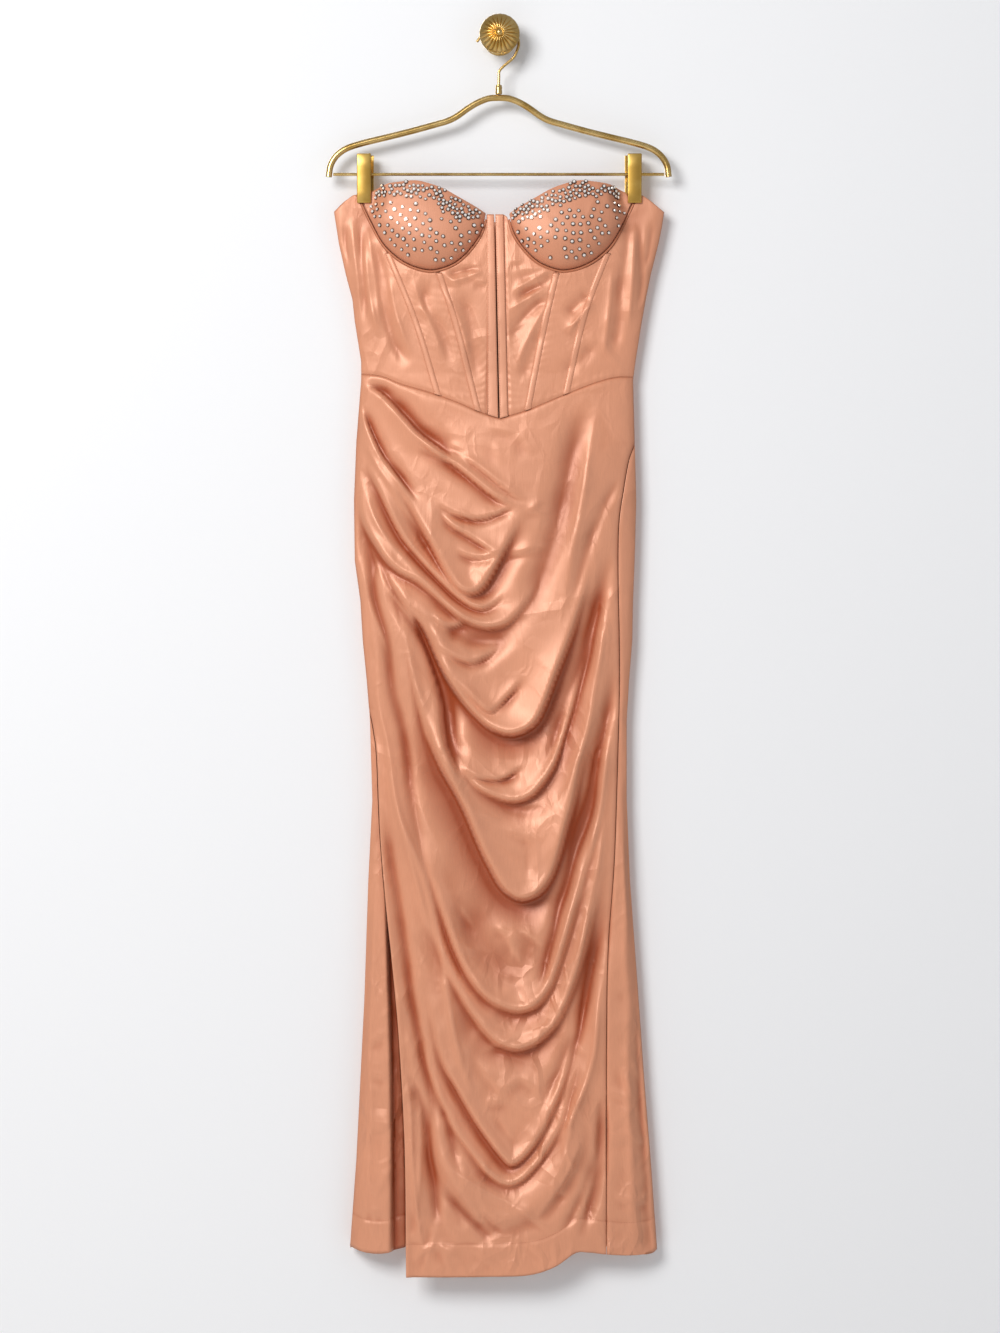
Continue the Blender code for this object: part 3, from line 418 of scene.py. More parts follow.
# Name, height, inner, outer, dip, recover : across,drop along the crest
FOLDS = fold_table("""
hip_pleat_top 7 15 5 9 15 : -46.9,544 -74.4,524 -100.6,504 -120.6,482 -136.9,462 -150.6,449 -169.4,441
hip_pleat_lip 4 10 3 6 12 : -106.9,499 -83.1,522 -60.6,534 -36.9,551 -1.9,578 25.6,592
hip_strip 3 6 3 3 6 : -46.9,526 -26.9,539 -4.4,556 15.6,572 33.1,586
second_pleat 5 11 3 6 9 : -101.9,592 -121.9,568 -141.9,539 -154.4,514 -166.9,485 -173.1,462
cowl_1 9 20 7 9 15 :
  -126.9,562 -110.6,585 -94.4,611 -80.6,635 -65.6,665 -49.4,690 -34.4,696 -21.9,688 -6.9,661 3.1,642
  15.6,618 30.6,592
crescent_1 2.8 9 3 5 7 : -74.4,586 -55.6,598 -26.9,605 -3.1,599 18.1,588
crease_1 3 8 3 4 8 : -73.1,592 -60.6,611 -39.4,626 -19.4,640 -3.1,651
crescent_2 2.2 7 4 3 7 : -55.6,642 -36.9,652 -16.9,652 0.6,644
roll_1b 6 13 5 6 9 :
  -165.6,530 -156.9,555 -140.6,591 -120.6,625 -99.4,651 -79.4,674 -51.9,702 -26.9,716 -9.4,710 5.6,692
cowl_2 8 15 6 6 15 :
  -176.9,545 -171.9,592 -163.1,618 -145.6,648 -125.6,668 -100.6,682 -80.6,698 -60.6,716 -40.6,730 -16.9,738
  5.6,735 20.6,722 35.6,700 50.6,664
hip_thread_1 2.6 5 5 0 6 : -170,500 -150,545 -125,585 -100,618 -78,645
hip_thread_2 3 5 5 0 6 : -172,560 -160,600 -140,632 -112,662 -85,690 -60,708
hip_thread_3 3.4 6 6 0 6 : -170,610 -158,650 -140,690 -118,722 -98,752
hip_groove -4 5 6 0 6 : -160,640 -146,675 -126,712 -106,745 -88,778
hip_thread_4 3 6 6 0 6 : -172,650 -163,700 -150,750 -138,800
hollow_3 -6 12 12 0 8 : -74.4,742 -55.6,752 -30.6,758 -1.9,760 25.6,748
ripple_3a 2.2 8 4 3 8 : -84.4,720 -71.9,735 -54.4,738 -36.9,730
ripple_3b 2.8 9 4 4 9 : -81.9,758 -53.1,776 -34.4,782 -19.4,776 6.9,758
vee_3 3 9 3 4 9 : -58.1,801 -39.4,825 -16.9,846 -5.6,842 15.6,820 30.6,800
cowl_4 14 27 7 14 26 :
  -141.9,661 -129.4,684 -114.4,708 -90.6,746 -74.4,779 -61.9,806 -43.1,835 -24.4,854 -5.6,868 11.9,874
  28.1,870 43.1,859 54.4,839 64.4,812 76.9,776 90.6,732 101.9,695 113.1,652
pocket_4 -11 11 9 0 8 : -111.9,722 -99.4,745 -86.9,772 -76.9,810 -66.9,850 -53.1,888 -31.9,915
left_lip 8 13 5 6 10 : -46.9,939 -59.4,910 -73.1,872 -80.6,822 -93.1,772 -109.4,732 -124.4,692
lip_5 3.5 12 3 5 7 : -41.9,912 -29.4,926 -14.4,931 0.6,932 14.4,925 25.6,912
cowl_5 8 12 6 8 22 :
  -51.9,898 -39.4,920 -24.4,940 -5.6,951 11.9,956 28.1,954 43.1,944 61.9,919 75.6,885 91.9,832 106.9,770
  118.1,726
cowl_6 11 25 9 12 32 :
  -104,806 -95,838 -84.4,868 -71.9,898 -59.4,926 -43.1,961 -23.1,1005 -9.4,1032 6.9,1061 25.6,1075
  43.1,1071 56.9,1054 69.4,1020 79.4,982 90.6,939 106.9,882 121.9,820
hollow_6 -8 26 26 0 8 : -59.4,1058 -39.4,1105 -14.4,1145 15.6,1168 45.6,1145 65.6,1095
cowl_8 10 15 9 5 16 :
  -98,985 -90,1025 -79.4,1064 -66.9,1101 -54.4,1135 -38.1,1168 -14.4,1199 10.6,1214 28.1,1215 43.1,1206
  60.6,1181 75.6,1145 91.9,1089 109.4,1019 124.4,951
cowl_9 8 15 9 7 22 :
  -95,1062 -84,1104 -73.1,1139 -61.9,1166 -48.1,1192 -28.1,1224 -1.9,1255 23.1,1264 48.1,1254 68.1,1230
  86.9,1189 103.1,1139 118.1,1082 130.6,1020
vee_10 8 11 7 6 14 :
  -92,1172 -80,1226 -65.6,1280 -51.9,1310 -36.9,1339 -15.6,1372 6.9,1398 18.1,1404 36.9,1389 53.1,1362
  71.9,1320 85.6,1276 98,1230 106,1190
vee_10b 5 9 6 4 12 :
  -99,1226 -88,1272 -76.9,1315 -64.4,1348 -51.9,1371 -31.9,1398 -15.6,1418 3.1,1430 20.6,1430 39.4,1416
  58.1,1392 75.6,1355 88,1310 99,1262
hump_11 5.5 20 15 3 10 :
  -92,1330 -80,1372 -66.9,1408 -49.4,1440 -26.9,1468 3.1,1478 38.1,1465 65.6,1438 83.1,1405 95,1365
  104,1320
crease_12 -3 5 5 0 5 : -36.9,1452 -24.4,1472 -9.4,1490 8.1,1499
right_hollow_1 -9 18 16 0 8 :
  113.1,452 99.4,495 89.4,536 80.6,576 74.4,609 65.6,639 54.4,670 39.4,705 20.6,735
right_ridge_1 5 12 12 0 8 : 126.9,460 113.1,520 104.4,580 96.9,626 88.1,666 78.1,714
right_crease_1 -3 7 7 0 5 : 155.6,539 140.6,570 126.9,600 115.6,632 104.4,664 93.1,699 81.9,735
right_trough_2 -11 9 11 0 8 :
  143.1,639 134.4,665 126.9,695 119.4,726 110.6,758 100.6,801 90.6,835 80.6,861 71.9,885 61.9,905 51.9,924
  39.4,942
right_ridge_2 6 9 9 0 8 : 131.9,708 125.6,758 119.4,808 113.1,855 105.6,889 96.9,914 84.4,949 69.4,982
right_trough_3 -9 8 9 0 8 : 144.4,770 139.4,820 133.1,860 125.6,898 118.1,932 111.9,966 104.4,1001 95.6,1035
right_ridge_3 4 6 6 0 6 : 140.6,858 134.4,908 125.6,958 118.1,1005 110.6,1045
right_trough_4 -10 9 10 0 8 :
  115.6,932 108.1,964 99.4,1005 90.6,1044 84.4,1070 76.9,1095 69.4,1132 60.6,1166 50.6,1191 38.1,1206
right_ridge_4 4 7 7 0 6 : 133.1,972 125.6,1032 114.4,1089 103.1,1145 90.6,1195
right_trough_5 -11 9 10 0 8 :
  136.9,1058 128.1,1114 120.6,1149 114.4,1180 108.1,1215 99.4,1248 88.1,1270 75.6,1298 63.1,1322 51.9,1360
right_ridge_5 6 9 9 0 6 : 128.1,1168 123.1,1235 116.9,1279 106.9,1314 94.4,1344 84.4,1366 71.9,1385
right_trough_6 -8 9 7 0 6 : 131.9,1314 128.1,1358 124.4,1392 121.9,1422 116.9,1452 108.1,1482 96.9,1510
right_ridge_6 4 9 9 0 6 : 108.1,1305 99.4,1330 90.6,1352 83.1,1389 76.9,1426
left_gutter -8 8 8 0 8 :
  -168.1,589 -165.6,620 -161.9,652 -155.6,698 -148.1,741 -140.6,785 -133.1,822 -124.4,860 -116.9,900
  -110.6,948 -101.9,1005 -91.9,1058
left_ridge 5 9 9 0 8 :
  -156.9,758 -151.9,820 -144.4,876 -136.9,919 -129.4,954 -121.9,989 -111.9,1032 -101.9,1075 -90.6,1116
  -78.1,1160
left_seam_crease -2 2.5 2.5 0 5 : -134.4,676 -121.9,748 -108.1,826 -99.4,864 -79.4,918
left_rib 4 7 7 0 6 : -131.9,708 -118.1,764 -104.4,820 -94.4,860 -84.4,908
slit_gutter -8 7 7 0 8 :
  -146.9,958 -140.6,992 -136.9,1020 -131.9,1058 -125.6,1101 -120.6,1139 -115.6,1176 -109.4,1211 -101.9,1245
  -94.4,1279 -88.1,1320 -84.4,1384 -78.1,1468
slit_ridge 6 10 10 0 8 :
  -133.1,935 -124.4,972 -110.6,1014 -95.6,1058 -85.6,1095 -76.9,1132 -69.4,1176 -61.9,1216 -54.4,1252
  -45.6,1285 -35.6,1318 -21.9,1352
brown_hollow -4.5 22 22 0 8 : -79.4,1020 -66.9,1070 -56.9,1114 -45.6,1155 -31.9,1189
low_gutter -8 8 9 0 8 :
  -110.6,1292 -105.6,1318 -96.9,1348 -89.4,1380 -84.4,1415 -80.6,1448 -76.9,1478 -70.6,1511
low_edge_ridge 4 6 6 0 6 : -116.9,1282 -113.1,1345 -108.1,1408 -101.9,1470 -95.6,1530
low_crease -4 6 6 0 6 : -74.4,1325 -66.9,1358 -56.9,1401 -46.9,1445
hem_corner 3 7 7 0 6 : -110.6,1532 -80.6,1511 -41.9,1532
hem_sweep_1 3.6 8 7 0 6 : -68,1416 -25.6,1442 26,1468 60.6,1494
hem_sweep_2 -3.6 7 7 0 6 : -76,1442 -33.6,1485 -8,1511
hem_sweep_3 3.6 7 7 0 6 : 103,1374 77.6,1434 43,1485
hem_sweep_4 -4 7 7 0 6 : 120,1391 103,1451 77.6,1502
hem_edge_rib 3 6 6 0 6 : -106,1305 -98,1391 -100.6,1468
clip_gutter_left -2.75 5 5 0 6 : -188,214 -192,240 -193,264 -188,295
clip_gutter_2_left -3.03 6 6 0 6 : -176,216 -173,245 -171,278 -169,322 -165,372
clip_ridge_left 2.2 6 6 0 6 : -183,216 -182,258 -178,308 -172,368
clip_ridge_2_left 1.93 6 6 0 6 : -166,232 -160,270 -154,320 -149,372
clip_gutter_3_left -1.65 6 6 0 6 : -157,258 -149,285 -139,320 -129,370
clip_gutter_right -2.75 6 6 0 6 : 176,218 176,258 179,312 175,346
clip_gutter_2_right -1.93 7 7 0 6 : 163,226 160,258 152,308 141,358
clip_gutter_3_right -1.93 5 5 0 6 : 192,226 188,262 184,296
clip_ridge_right 2.2 6 6 0 6 : 170,222 168,270 165,322 160,372
drag_left_1 -2.8 5 6 0 6 : -25.6,289 -46.3,298 -67,302
drag_left_2 2.4 5 5 0 6 : -21,297.5 -42,306 -63,312
drag_left_3 -2.8 9 8 0 6 : -54.7,318 -38,356 -31.7,398 -29.6,436
drag_left_4 2.2 9 7 0 6 : -71.5,318 -48.5,364 -35.9,406
drag_left_5 -2.8 8 9 0 6 : -88.3,306 -92.5,339 -71.5,377 -58.9,419
drag_left_6 2.4 8 8 0 6 : -107,301 -98.8,335 -82,373 -67.3,415
drag_left_7 3.2 7 7 0 6 : -168,250 -163.8,322 -151,377
drag_left_8 -3.4 8 7 0 6 : -155.5,262 -149,322 -134.4,377 -113.5,415
drag_left_9 2.8 8 8 0 6 : -138.6,301 -130.3,347 -109,406
drag_right_1 2.4 5 5 0 6 : 66.9,295 41.9,308 11.9,325
drag_right_2 -2.8 5 6 0 6 : 69,302 45.9,318 16.5,333
drag_right_3 2.4 6 5 0 6 : 58.4,318 33.3,333 10,348
drag_right_4 -3 8 7 0 6 : 62.7,325 41.7,344 24.9,365 12.4,386
drag_right_5 2.4 9 8 0 6 : 58.4,339 45.9,365 33.4,390 16.5,428
drag_right_6 -2.4 8 8 0 6 : 56.4,365 41.7,398 24.9,436
drag_right_7 -2.6 7 7 0 6 : 115,322 96.3,339 79.5,360
drag_right_8 2.4 7 6 0 6 : 117,335 100,354 83.6,377
drag_right_9 -2.4 9 9 0 6 : 119,385 100.4,406 75.3,423
drag_right_10 2.4 8 8 0 6 : 140,290 135,350 128,410
drag_right_11 -3 8 8 0 6 : 154,280 149,350 139,410
hem_right 5 12 12 0 6 : 154,900 158,1100 162,1300 168,1560
hem_right_gutter -4 9 9 0 6 : 176,1180 180,1300 184,1440 188,1560
hem_left 4 10 10 0 6 : -155,1040 -160,1200 -165,1400 -170,1560
""")

# Short sharp creases, where the satin was crumpled: across,drop of start and end, height, width of a side
CREASES = crease_table("""
waist_fan : 34.4,592,59.4,600,1.6,5 36.9,598,51.9,582,1.8,4 8.1,648,58.1,639,1.6,5 10.6,652,43.1,642,1.5,4
facet : -14.4,490,20.6,500,1.5,6 25.6,498,41.9,526,1.8,6 -5.6,508,3.1,539,1.2,6
square : -65.6,511,-55.6,535,1.6,4 -65.6,511,-41.9,520,1.6,4
cowl4_in : -55.6,758,-36.9,776,1.5,6 -36.9,776,0.6,758,1.4,6
cowl6_in :
  -26.9,972,0.6,985,1.3,5 0.6,990,45.6,1008,1.3,5 -11.9,1002,25.6,1030,1.2,5 20.6,968,60.6,958,1.3,5
hollow6 :
  -3.1,1116,10.6,1126,1.6,4 10.6,1126,28.1,1165,1.6,4 25.6,1118,58.1,1140,1.4,4 -51.9,1085,-29.4,1120,1.2,4
cowl9_in : -36.9,1176,-9.4,1208,1.5,5 -24.4,1272,19.4,1252,1.7,5 19.4,1252,75.6,1235,1.7,5
vee_in :
  -26.9,1282,8.1,1328,1.5,5 -16.9,1335,10.6,1332,1.8,4 0.6,1322,25.6,1302,1.6,5 25.6,1302,50.6,1318,1.6,5
  -1.9,1348,20.6,1382,1.4,5
low :
  -24.4,1412,0.6,1430,1.8,5 25.6,1465,63.1,1492,1.8,4 60.6,1435,85.6,1452,1.5,4 83.1,1395,95.6,1422,1.4,4
  -93.1,1476,-109.4,1508,1.6,5 -74.4,1476,-94.4,1548,1.6,4 -74.4,1505,-59.4,1545,1.5,4
  -55.6,1464,-24.4,1508,1.4,5 -30.6,1514,0.6,1542,1.4,5 31.9,1502,60.6,1530,1.5,5
edge : -109.4,1282,-99.4,1245,1.4,5 -119.4,1326,-106.9,1308,1.2,5 -111.9,1458,-89.4,1478,1.3,5
right_panel :
  153.1,1290,168.1,1335,1.8,5 135.6,1320,165.6,1332,1.8,5 155.6,1368,181.9,1390,2.0,5
  133.1,1382,158.1,1385,1.6,5 140.6,1450,191.9,1465,1.8,5 163.1,1270,175.6,1314,1.4,5
  133.1,1322,140.6,1382,1.5,5 165.6,1465,188.1,1448,1.4,5 138.1,1195,175.6,1189,1.2,6
  160.6,1385,150.6,1368,1.4,5
left_panel :
  -169.4,1265,-136.9,1245,1.5,5 -164.4,1298,-135.6,1305,1.6,5 -160.6,1305,-171.9,1358,1.4,5
  -166.9,1422,-154.4,1452,1.8,5 -154.4,1452,-135.6,1414,1.8,5 -158.1,1452,-155.6,1508,1.3,5
  -174.4,1468,-139.4,1472,1.4,5 -161.9,1176,-149.4,1232,1.2,5
under_cup :
  -58,303,-29,296,1.6,5 -70,300,-50,316,1.5,5 -32,309,-16,311,1.5,4 -46,290,-24,290,1.4,4
  14,296,65,293,1.5,5 22,319,66,305,1.6,5 34,339,62,322,1.4,5 12,285,30,284,1.4,4
ribs : 79,371,106,354,1.3,7 -104,340,-84,356,1.2,7 16,372,40,352,1.2,7
""")

# Long easy folds down the back, which the photograph doesn't show
BACK_FOLDS = fold_table("""
back_ridge_1 3 18 18 0 6 : -150,215 -146,430 -140,900
back_trough_1 -3 20 18 0 6 : -95,400 -100,900 -110,1560
back_ridge_2 3 20 20 0 6 : -45,480 -48,1000 -52,1560
back_trough_2 -3 20 22 0 6 : 55,460 58,1000 62,1560
back_ridge_3 3 20 18 0 6 : 105,400 112,900 122,1560
back_trough_3 -3 18 18 0 6 : 150,215 146,430 142,900
back_slack_1 2 9 7 3 9 : -150,452 -80,470 -20,462
back_slack_2 2 9 7 3 9 : 20,470 80,462 146,446
back_slack_3 2 10 8 2 9 : -120,520 -60,548 -10,520
back_slack_4 2 10 8 2 9 : 24,560 84,540 130,512
back_cross_1 2 12 9 2 9 : -120,1180 -70,1230 -20,1190
back_cross_2 2 12 9 2 9 : 20,1290 70,1340 130,1280
""")
print(len(FOLDS), "folds and", len(CREASES), "creases in front,", len(BACK_FOLDS), "folds behind")

# %% [markdown]
# The height of the cloth at a place is the sum of its folds. For each fold the nearest point of its
# crest line is found, and the place's distance from it, with a sign for the side, goes through the fold's
# profile. Only the places near a fold are worked out, which keeps so long a table quick.

# %% The height of one fold
FOLD_END_FADE = 0.26
CREST = 0.4
CREST_WIDTH = 0.36
CREST_ROUND = 2.5
RISE = 3.0
FALL = 1.3
CREASE_LIFT = 1.2
CREASE_END_FADE = 0.35


def beside(line, places):
    """Each place's distance from a line, above 0 on its outer side, and its share of the line's length."""
    start, step = line[:-1], np.diff(line, axis=0)
    offset = places[:, None, :] - start
    share = np.clip((offset * step).sum(2) / np.maximum((step**2).sum(1), 1e-9), 0, 1)
    offset = offset - share[..., None] * step
    distance = np.linalg.norm(offset, axis=2)
    nearest = distance.argmin(1)
    rows = np.arange(len(nearest))
    offset, step = offset[rows, nearest], step[nearest]
    turn = step[:, 0] * offset[:, 1] - step[:, 1] * offset[:, 0]
    return np.copysign(distance[rows, nearest], turn), (nearest + share[rows, nearest]) / len(start)


def fold_profile(fold, distance):
    """A long rise on the inner side to a narrow crest, then a steep fall and a hollow on the outer side."""
    if not fold.dip:
        crest = CREST if fold.height > 0 else 0.0
        share = distance / np.where(distance < 0, fold.inner, fold.outer)
        ridge = (1 - crest) * np.exp(-(share**2)) + crest * np.exp(-((share / CREST_WIDTH) ** 2))
        return fold.height * ridge
    from_crest = np.sqrt(distance**2 + CREST_ROUND**2) - CREST_ROUND
    inside = fold.height * (1 - np.clip(from_crest / (RISE * fold.inner), 0, 1)) ** 3
    foot = FALL * fold.outer
    fall = (fold.height + fold.dip) * (1 - smoothstep(distance / foot))
    beyond = np.clip(distance - foot, 0, None)
    outside = fall - fold.dip * np.exp(-((beyond / fold.recover) ** 2))
    return np.where(distance < 0, inside, outside)


def height_near(line, reach, across, drop, rule):
    """A rule on the distance from a line and the share of its length, for the places within reach of it."""
    near = (across > line[:, 0].min() - reach) & (across < line[:, 0].max() + reach)
    near &= (drop > line[:, 1].min() - reach) & (drop < line[:, 1].max() + reach)
    height = np.zeros_like(across)
    if near.any():
        height[near] = rule(*beside(line, np.stack([across[near], drop[near]], axis=1)))
    return height


def faded(share, length):
    """0 at both ends of a line and 1 between."""
    return smoothstep(share / length) * smoothstep((1 - share) / length)


def fold_height(fold, across, drop):
    def rule(distance, share):
        uneven = 1 + 0.3 * smooth_noise(share * 7, fold.places[0][1], 1.0, fold.places[0][0] % 11)
        return faded(share, FOLD_END_FADE) * uneven * fold_profile(fold, distance)

    reach = 3.0 * max(fold.inner, FALL * fold.outer + fold.recover)
    return height_near(dense_line(fold.places, per_span=5), reach, across, drop, rule)


def crease_height(crease, across, drop):
    """A peaked ridge, sharp along its middle, that dies away at its ends."""

    def rule(distance, share):
        peak = np.exp(-np.abs(distance) / crease.width)
        peak -= 0.6 * np.exp(-((distance / crease.width / 1.6 - 1) ** 2))
        on_line = (share > 0) & (share < 1)
        return CREASE_LIFT * crease.height * (0.25 + 0.75 * faded(share, CREASE_END_FADE)) * peak * on_line

    line = np.array([(crease.across, crease.drop), (crease.to_across, crease.to_drop)])
    return height_near(line, 5 * crease.width, across, drop, rule)


test = fold_profile(FOLDS[0], np.array([-10.0, 0.0, 5.0, 12.0]))
print("profile of", FOLDS[0].name, "across its crest:", test.round(1))

# %% [markdown]
# ## Crumple
#
# Between its folds the satin isn't smooth. It carries the soft crumple of a dress that was stored folded,
# strongest near the hem and on the side panels. A little smooth noise, folded at zero so that it has
# sharp ridges, gives that. The random table has a fixed seed, so every run makes the same dress.

# %% Smooth noise
NOISE_TABLE = np.random.default_rng(11).uniform(-1, 1, (97, 97))


def smooth_noise(across, drop, grain, shift=0.0):
    """Noise between -1 and 1 whose lumps are about grain millimetres across."""
    u = np.asarray(across) / grain + 40 + shift
    v = np.asarray(drop) / grain + 7 + 1.7 * shift
    column, row = np.floor(u).astype(int), np.floor(v).astype(int)
    s, t = smoothstep(u - column), smoothstep(v - row)
    size = len(NOISE_TABLE)
    corner = [NOISE_TABLE[(row + i) % size, (column + j) % size] for i in (0, 1) for j in (0, 1)]
    upper = corner[0] * (1 - s) + corner[1] * s
    lower = corner[2] * (1 - s) + corner[3] * s
    return upper * (1 - t) + lower * t


def crushing(across, drop):
    """How badly the satin is crumpled: most near the hem and on the side panels."""
    near_hem = smoothstep((drop - 900) / 400)
    side_panel = smoothstep((np.abs(across) - 128) / 14) * smoothstep((drop - 980) / 200)
    return 0.5 + 0.6 * near_hem + 0.35 * side_panel


def crumple(across, drop):
    """Soft lumps everywhere, and folded noise that grows towards the hem."""
    turned = across * 0.8 + drop * 0.6
    rest = -across * 0.6 + drop * 0.8
    folded = 1 - 2.2 * np.abs(smooth_noise(turned, rest * 0.7, 34, 3.1))
    fine = 1 - 2.2 * np.abs(smooth_noise(rest, turned * 0.6, 17, 9.4))
    lumps = smooth_noise(across, drop, 46, 1.3)
    return crushing(across, drop) * (0.62 * folded + 0.12 * fine) + 0.5 * lumps


print("crumple at the hem:", crumple(np.array([0.0, 20.0]), np.array([1500.0, 1500.0])).round(2))

# %% [markdown]
# ## Where the cloth lies
#
# Now the two rules that every panel reads: `front_out` and `back_out`. Each starts from the flattened
# arch, adds the folds and the crumple, lets them die away at the side seams and at the tight waist seam,
# and is then drawn to the two clips, which pinch front and back together.

# %% Waist seam and clips
WAIST_LEFT = [(-173, 424), (-147, 428), (-122, 438), (-88, 448), (-54, 460), (-24, 473), (0.6, 481)]
WAIST_RIGHT = [(0.6, 481), (34, 471), (77, 453), (120, 436), (146, 429), (167, 428)]
CLIP_ACROSS = 169
CLIP_DROP = 202
PINCH_FRONT_OUT = 25.4
PINCH_BACK_OUT = 22.2
PINCH_FLAT = 20
PINCH_REACH = 52
EDGE_FADE = 0.05
WAIST_FADE = 15
LOWEST_FRONT = 17.5
LIMIT_SOFTNESS = 6.0
TALLEST_FOLD = 24
SIDE_BAND = 0.97
SIDE_BAND_FOLD = 6
BACK_NEAREST_WALL = 2.0
BACK_FARTHEST = 13.5
WANDER = ((3.0, 64, 5.3), (3.5, 71, 8.9))  # height, grain and shift, across and down


def waist_drop(across):
    line = np.vstack([dense_line(WAIST_LEFT), dense_line(WAIST_RIGHT)[1:]])
    return np.interp(across, line[:, 0], line[:, 1])


def waist_at(side):
    """The drop of the waist seam where it meets a side seam."""
    return float(waist_drop((WAIST_LEFT[0] if side < 0 else WAIST_RIGHT[-1])[0]))


def pinched(out, across, drop, pinch_out, flat=PINCH_FLAT, reach=PINCH_REACH):
    """Brings the cloth to the clips' jaws, which hold front and back together."""
    for side in (-1, 1):
        centre = DRESS_CENTRE + 0.5 + side * CLIP_ACROSS
        distance = np.hypot(across - centre, (drop - CLIP_DROP) * 0.8)
        weight = smoothstep((reach - distance) / (reach - flat))
        out = out + (pinch_out - out) * weight
    return out


def arch(across, drop):
    """The flattened arch of the front, without its folds."""
    middle = np.interp(drop, [row.drop for row in FRONT_DEPTH], [row.out for row in FRONT_DEPTH])
    side = SIDE_OUT + SIDE_RETURN
    return side + (middle - side) * roundness(side_share(across, drop))


def front_folds(across, drop):
    folds = np.zeros_like(across)
    # A little wandering, so that no fold runs as smoothly as a drawn line
    by = [size * smooth_noise(across, drop, grain, shift) for size, grain, shift in WANDER]
    aside, lower = across + by[0], drop + by[1]
    for fold in FOLDS:
        folds += fold_height(fold, aside, lower)
    for crease in CREASES:
        folds += crease_height(crease, across, drop)
    calm = smoothstep((1 - side_share(across, drop)) / EDGE_FADE)
    calm = calm * smoothstep(np.abs(drop - waist_drop(across)) / WAIST_FADE)
    return (folds + crumple(across, drop)) * calm


def front_out(across, drop):
    across, drop = np.asarray(across, float), np.asarray(drop, float)
    out = arch(across, drop) + front_folds(across, drop)
    # No fold sinks into the back of the dress: near the limit it flattens out
    soft = LIMIT_SOFTNESS
    sunk = np.clip(LOWEST_FRONT + soft - out, 0, None)
    out = np.where(sunk > 0, LOWEST_FRONT + soft - soft * (1 - np.exp(-sunk / soft)), out)
    out = np.minimum(out, np.maximum(arch(across, drop), LOWEST_FRONT) + TALLEST_FOLD)
    at_side = side_share(across, drop) > SIDE_BAND
    out = np.where(at_side, np.minimum(out, arch(across, drop) + SIDE_BAND_FOLD), out)
    return pinched(out, across, drop, PINCH_FRONT_OUT)


def back_out(across, drop):
    across, drop = np.asarray(across, float), np.asarray(drop, float)
    share = side_share(across, drop)
    out = SIDE_OUT - SIDE_RETURN - (SIDE_OUT - SIDE_RETURN - BACK_OUT) * roundness(share)
    calm = smoothstep((1 - share) / EDGE_FADE)
    for fold in BACK_FOLDS:
        out = out - fold_height(fold, across, drop) * calm
    out = out - 0.5 * crumple(across + 500, drop + 60) * calm
    out = np.clip(out, BACK_NEAREST_WALL, BACK_FARTHEST)
    return pinched(out, across, drop, PINCH_BACK_OUT)


print("the front's middle stands", front_out(np.array([0.0]), np.array([900.0])).round(1), "mm out")


# %% [markdown]
# ## Duchess satin
#
# The dress is polyester duchess satin: long warp threads float over the weave, so the face is smooth and
# carries a broad silky highlight instead of a sharp one, and the shaded folds glow a deep orange, because
# light passes from fold to fold and takes up the colour each time. The eye sees a base colour with slight
# clouding, a fine vertical grain from the warp, and a broken net of creases too fine to model.
#
# Its reflections pick up warmth from the threads, which a warm specular tint and a little Metallic stand
# for.
#
# The pattern follows the cloth's own map, "cut", in metres of cloth. The real threads are 0.1 mm apart,
# too fine to show in a render of the whole dress, so the grain is drawn 0.9 mm apart. An attribute named
# "hollow" tells the material how deep in a fold a place lies, and there the base colour is darkened
# towards a burnt orange: painted shade for the folds' glow. One named "crumple" says how creased it is.

# %% The satin
THREAD_MM = 0.9
FLOAT_MM = 16
CRUMPLE_MM = 38
CREASE_SHARE = 0.2
CLOUD_MM = 160
SATIN = "#DC9674"
# The satin's colour in its deepest folds, mixed in by the hollow attribute: painted shade.
SATIN_PAINTED_SHADE = "#A24A26"
SATIN_MIRROR = 0.1


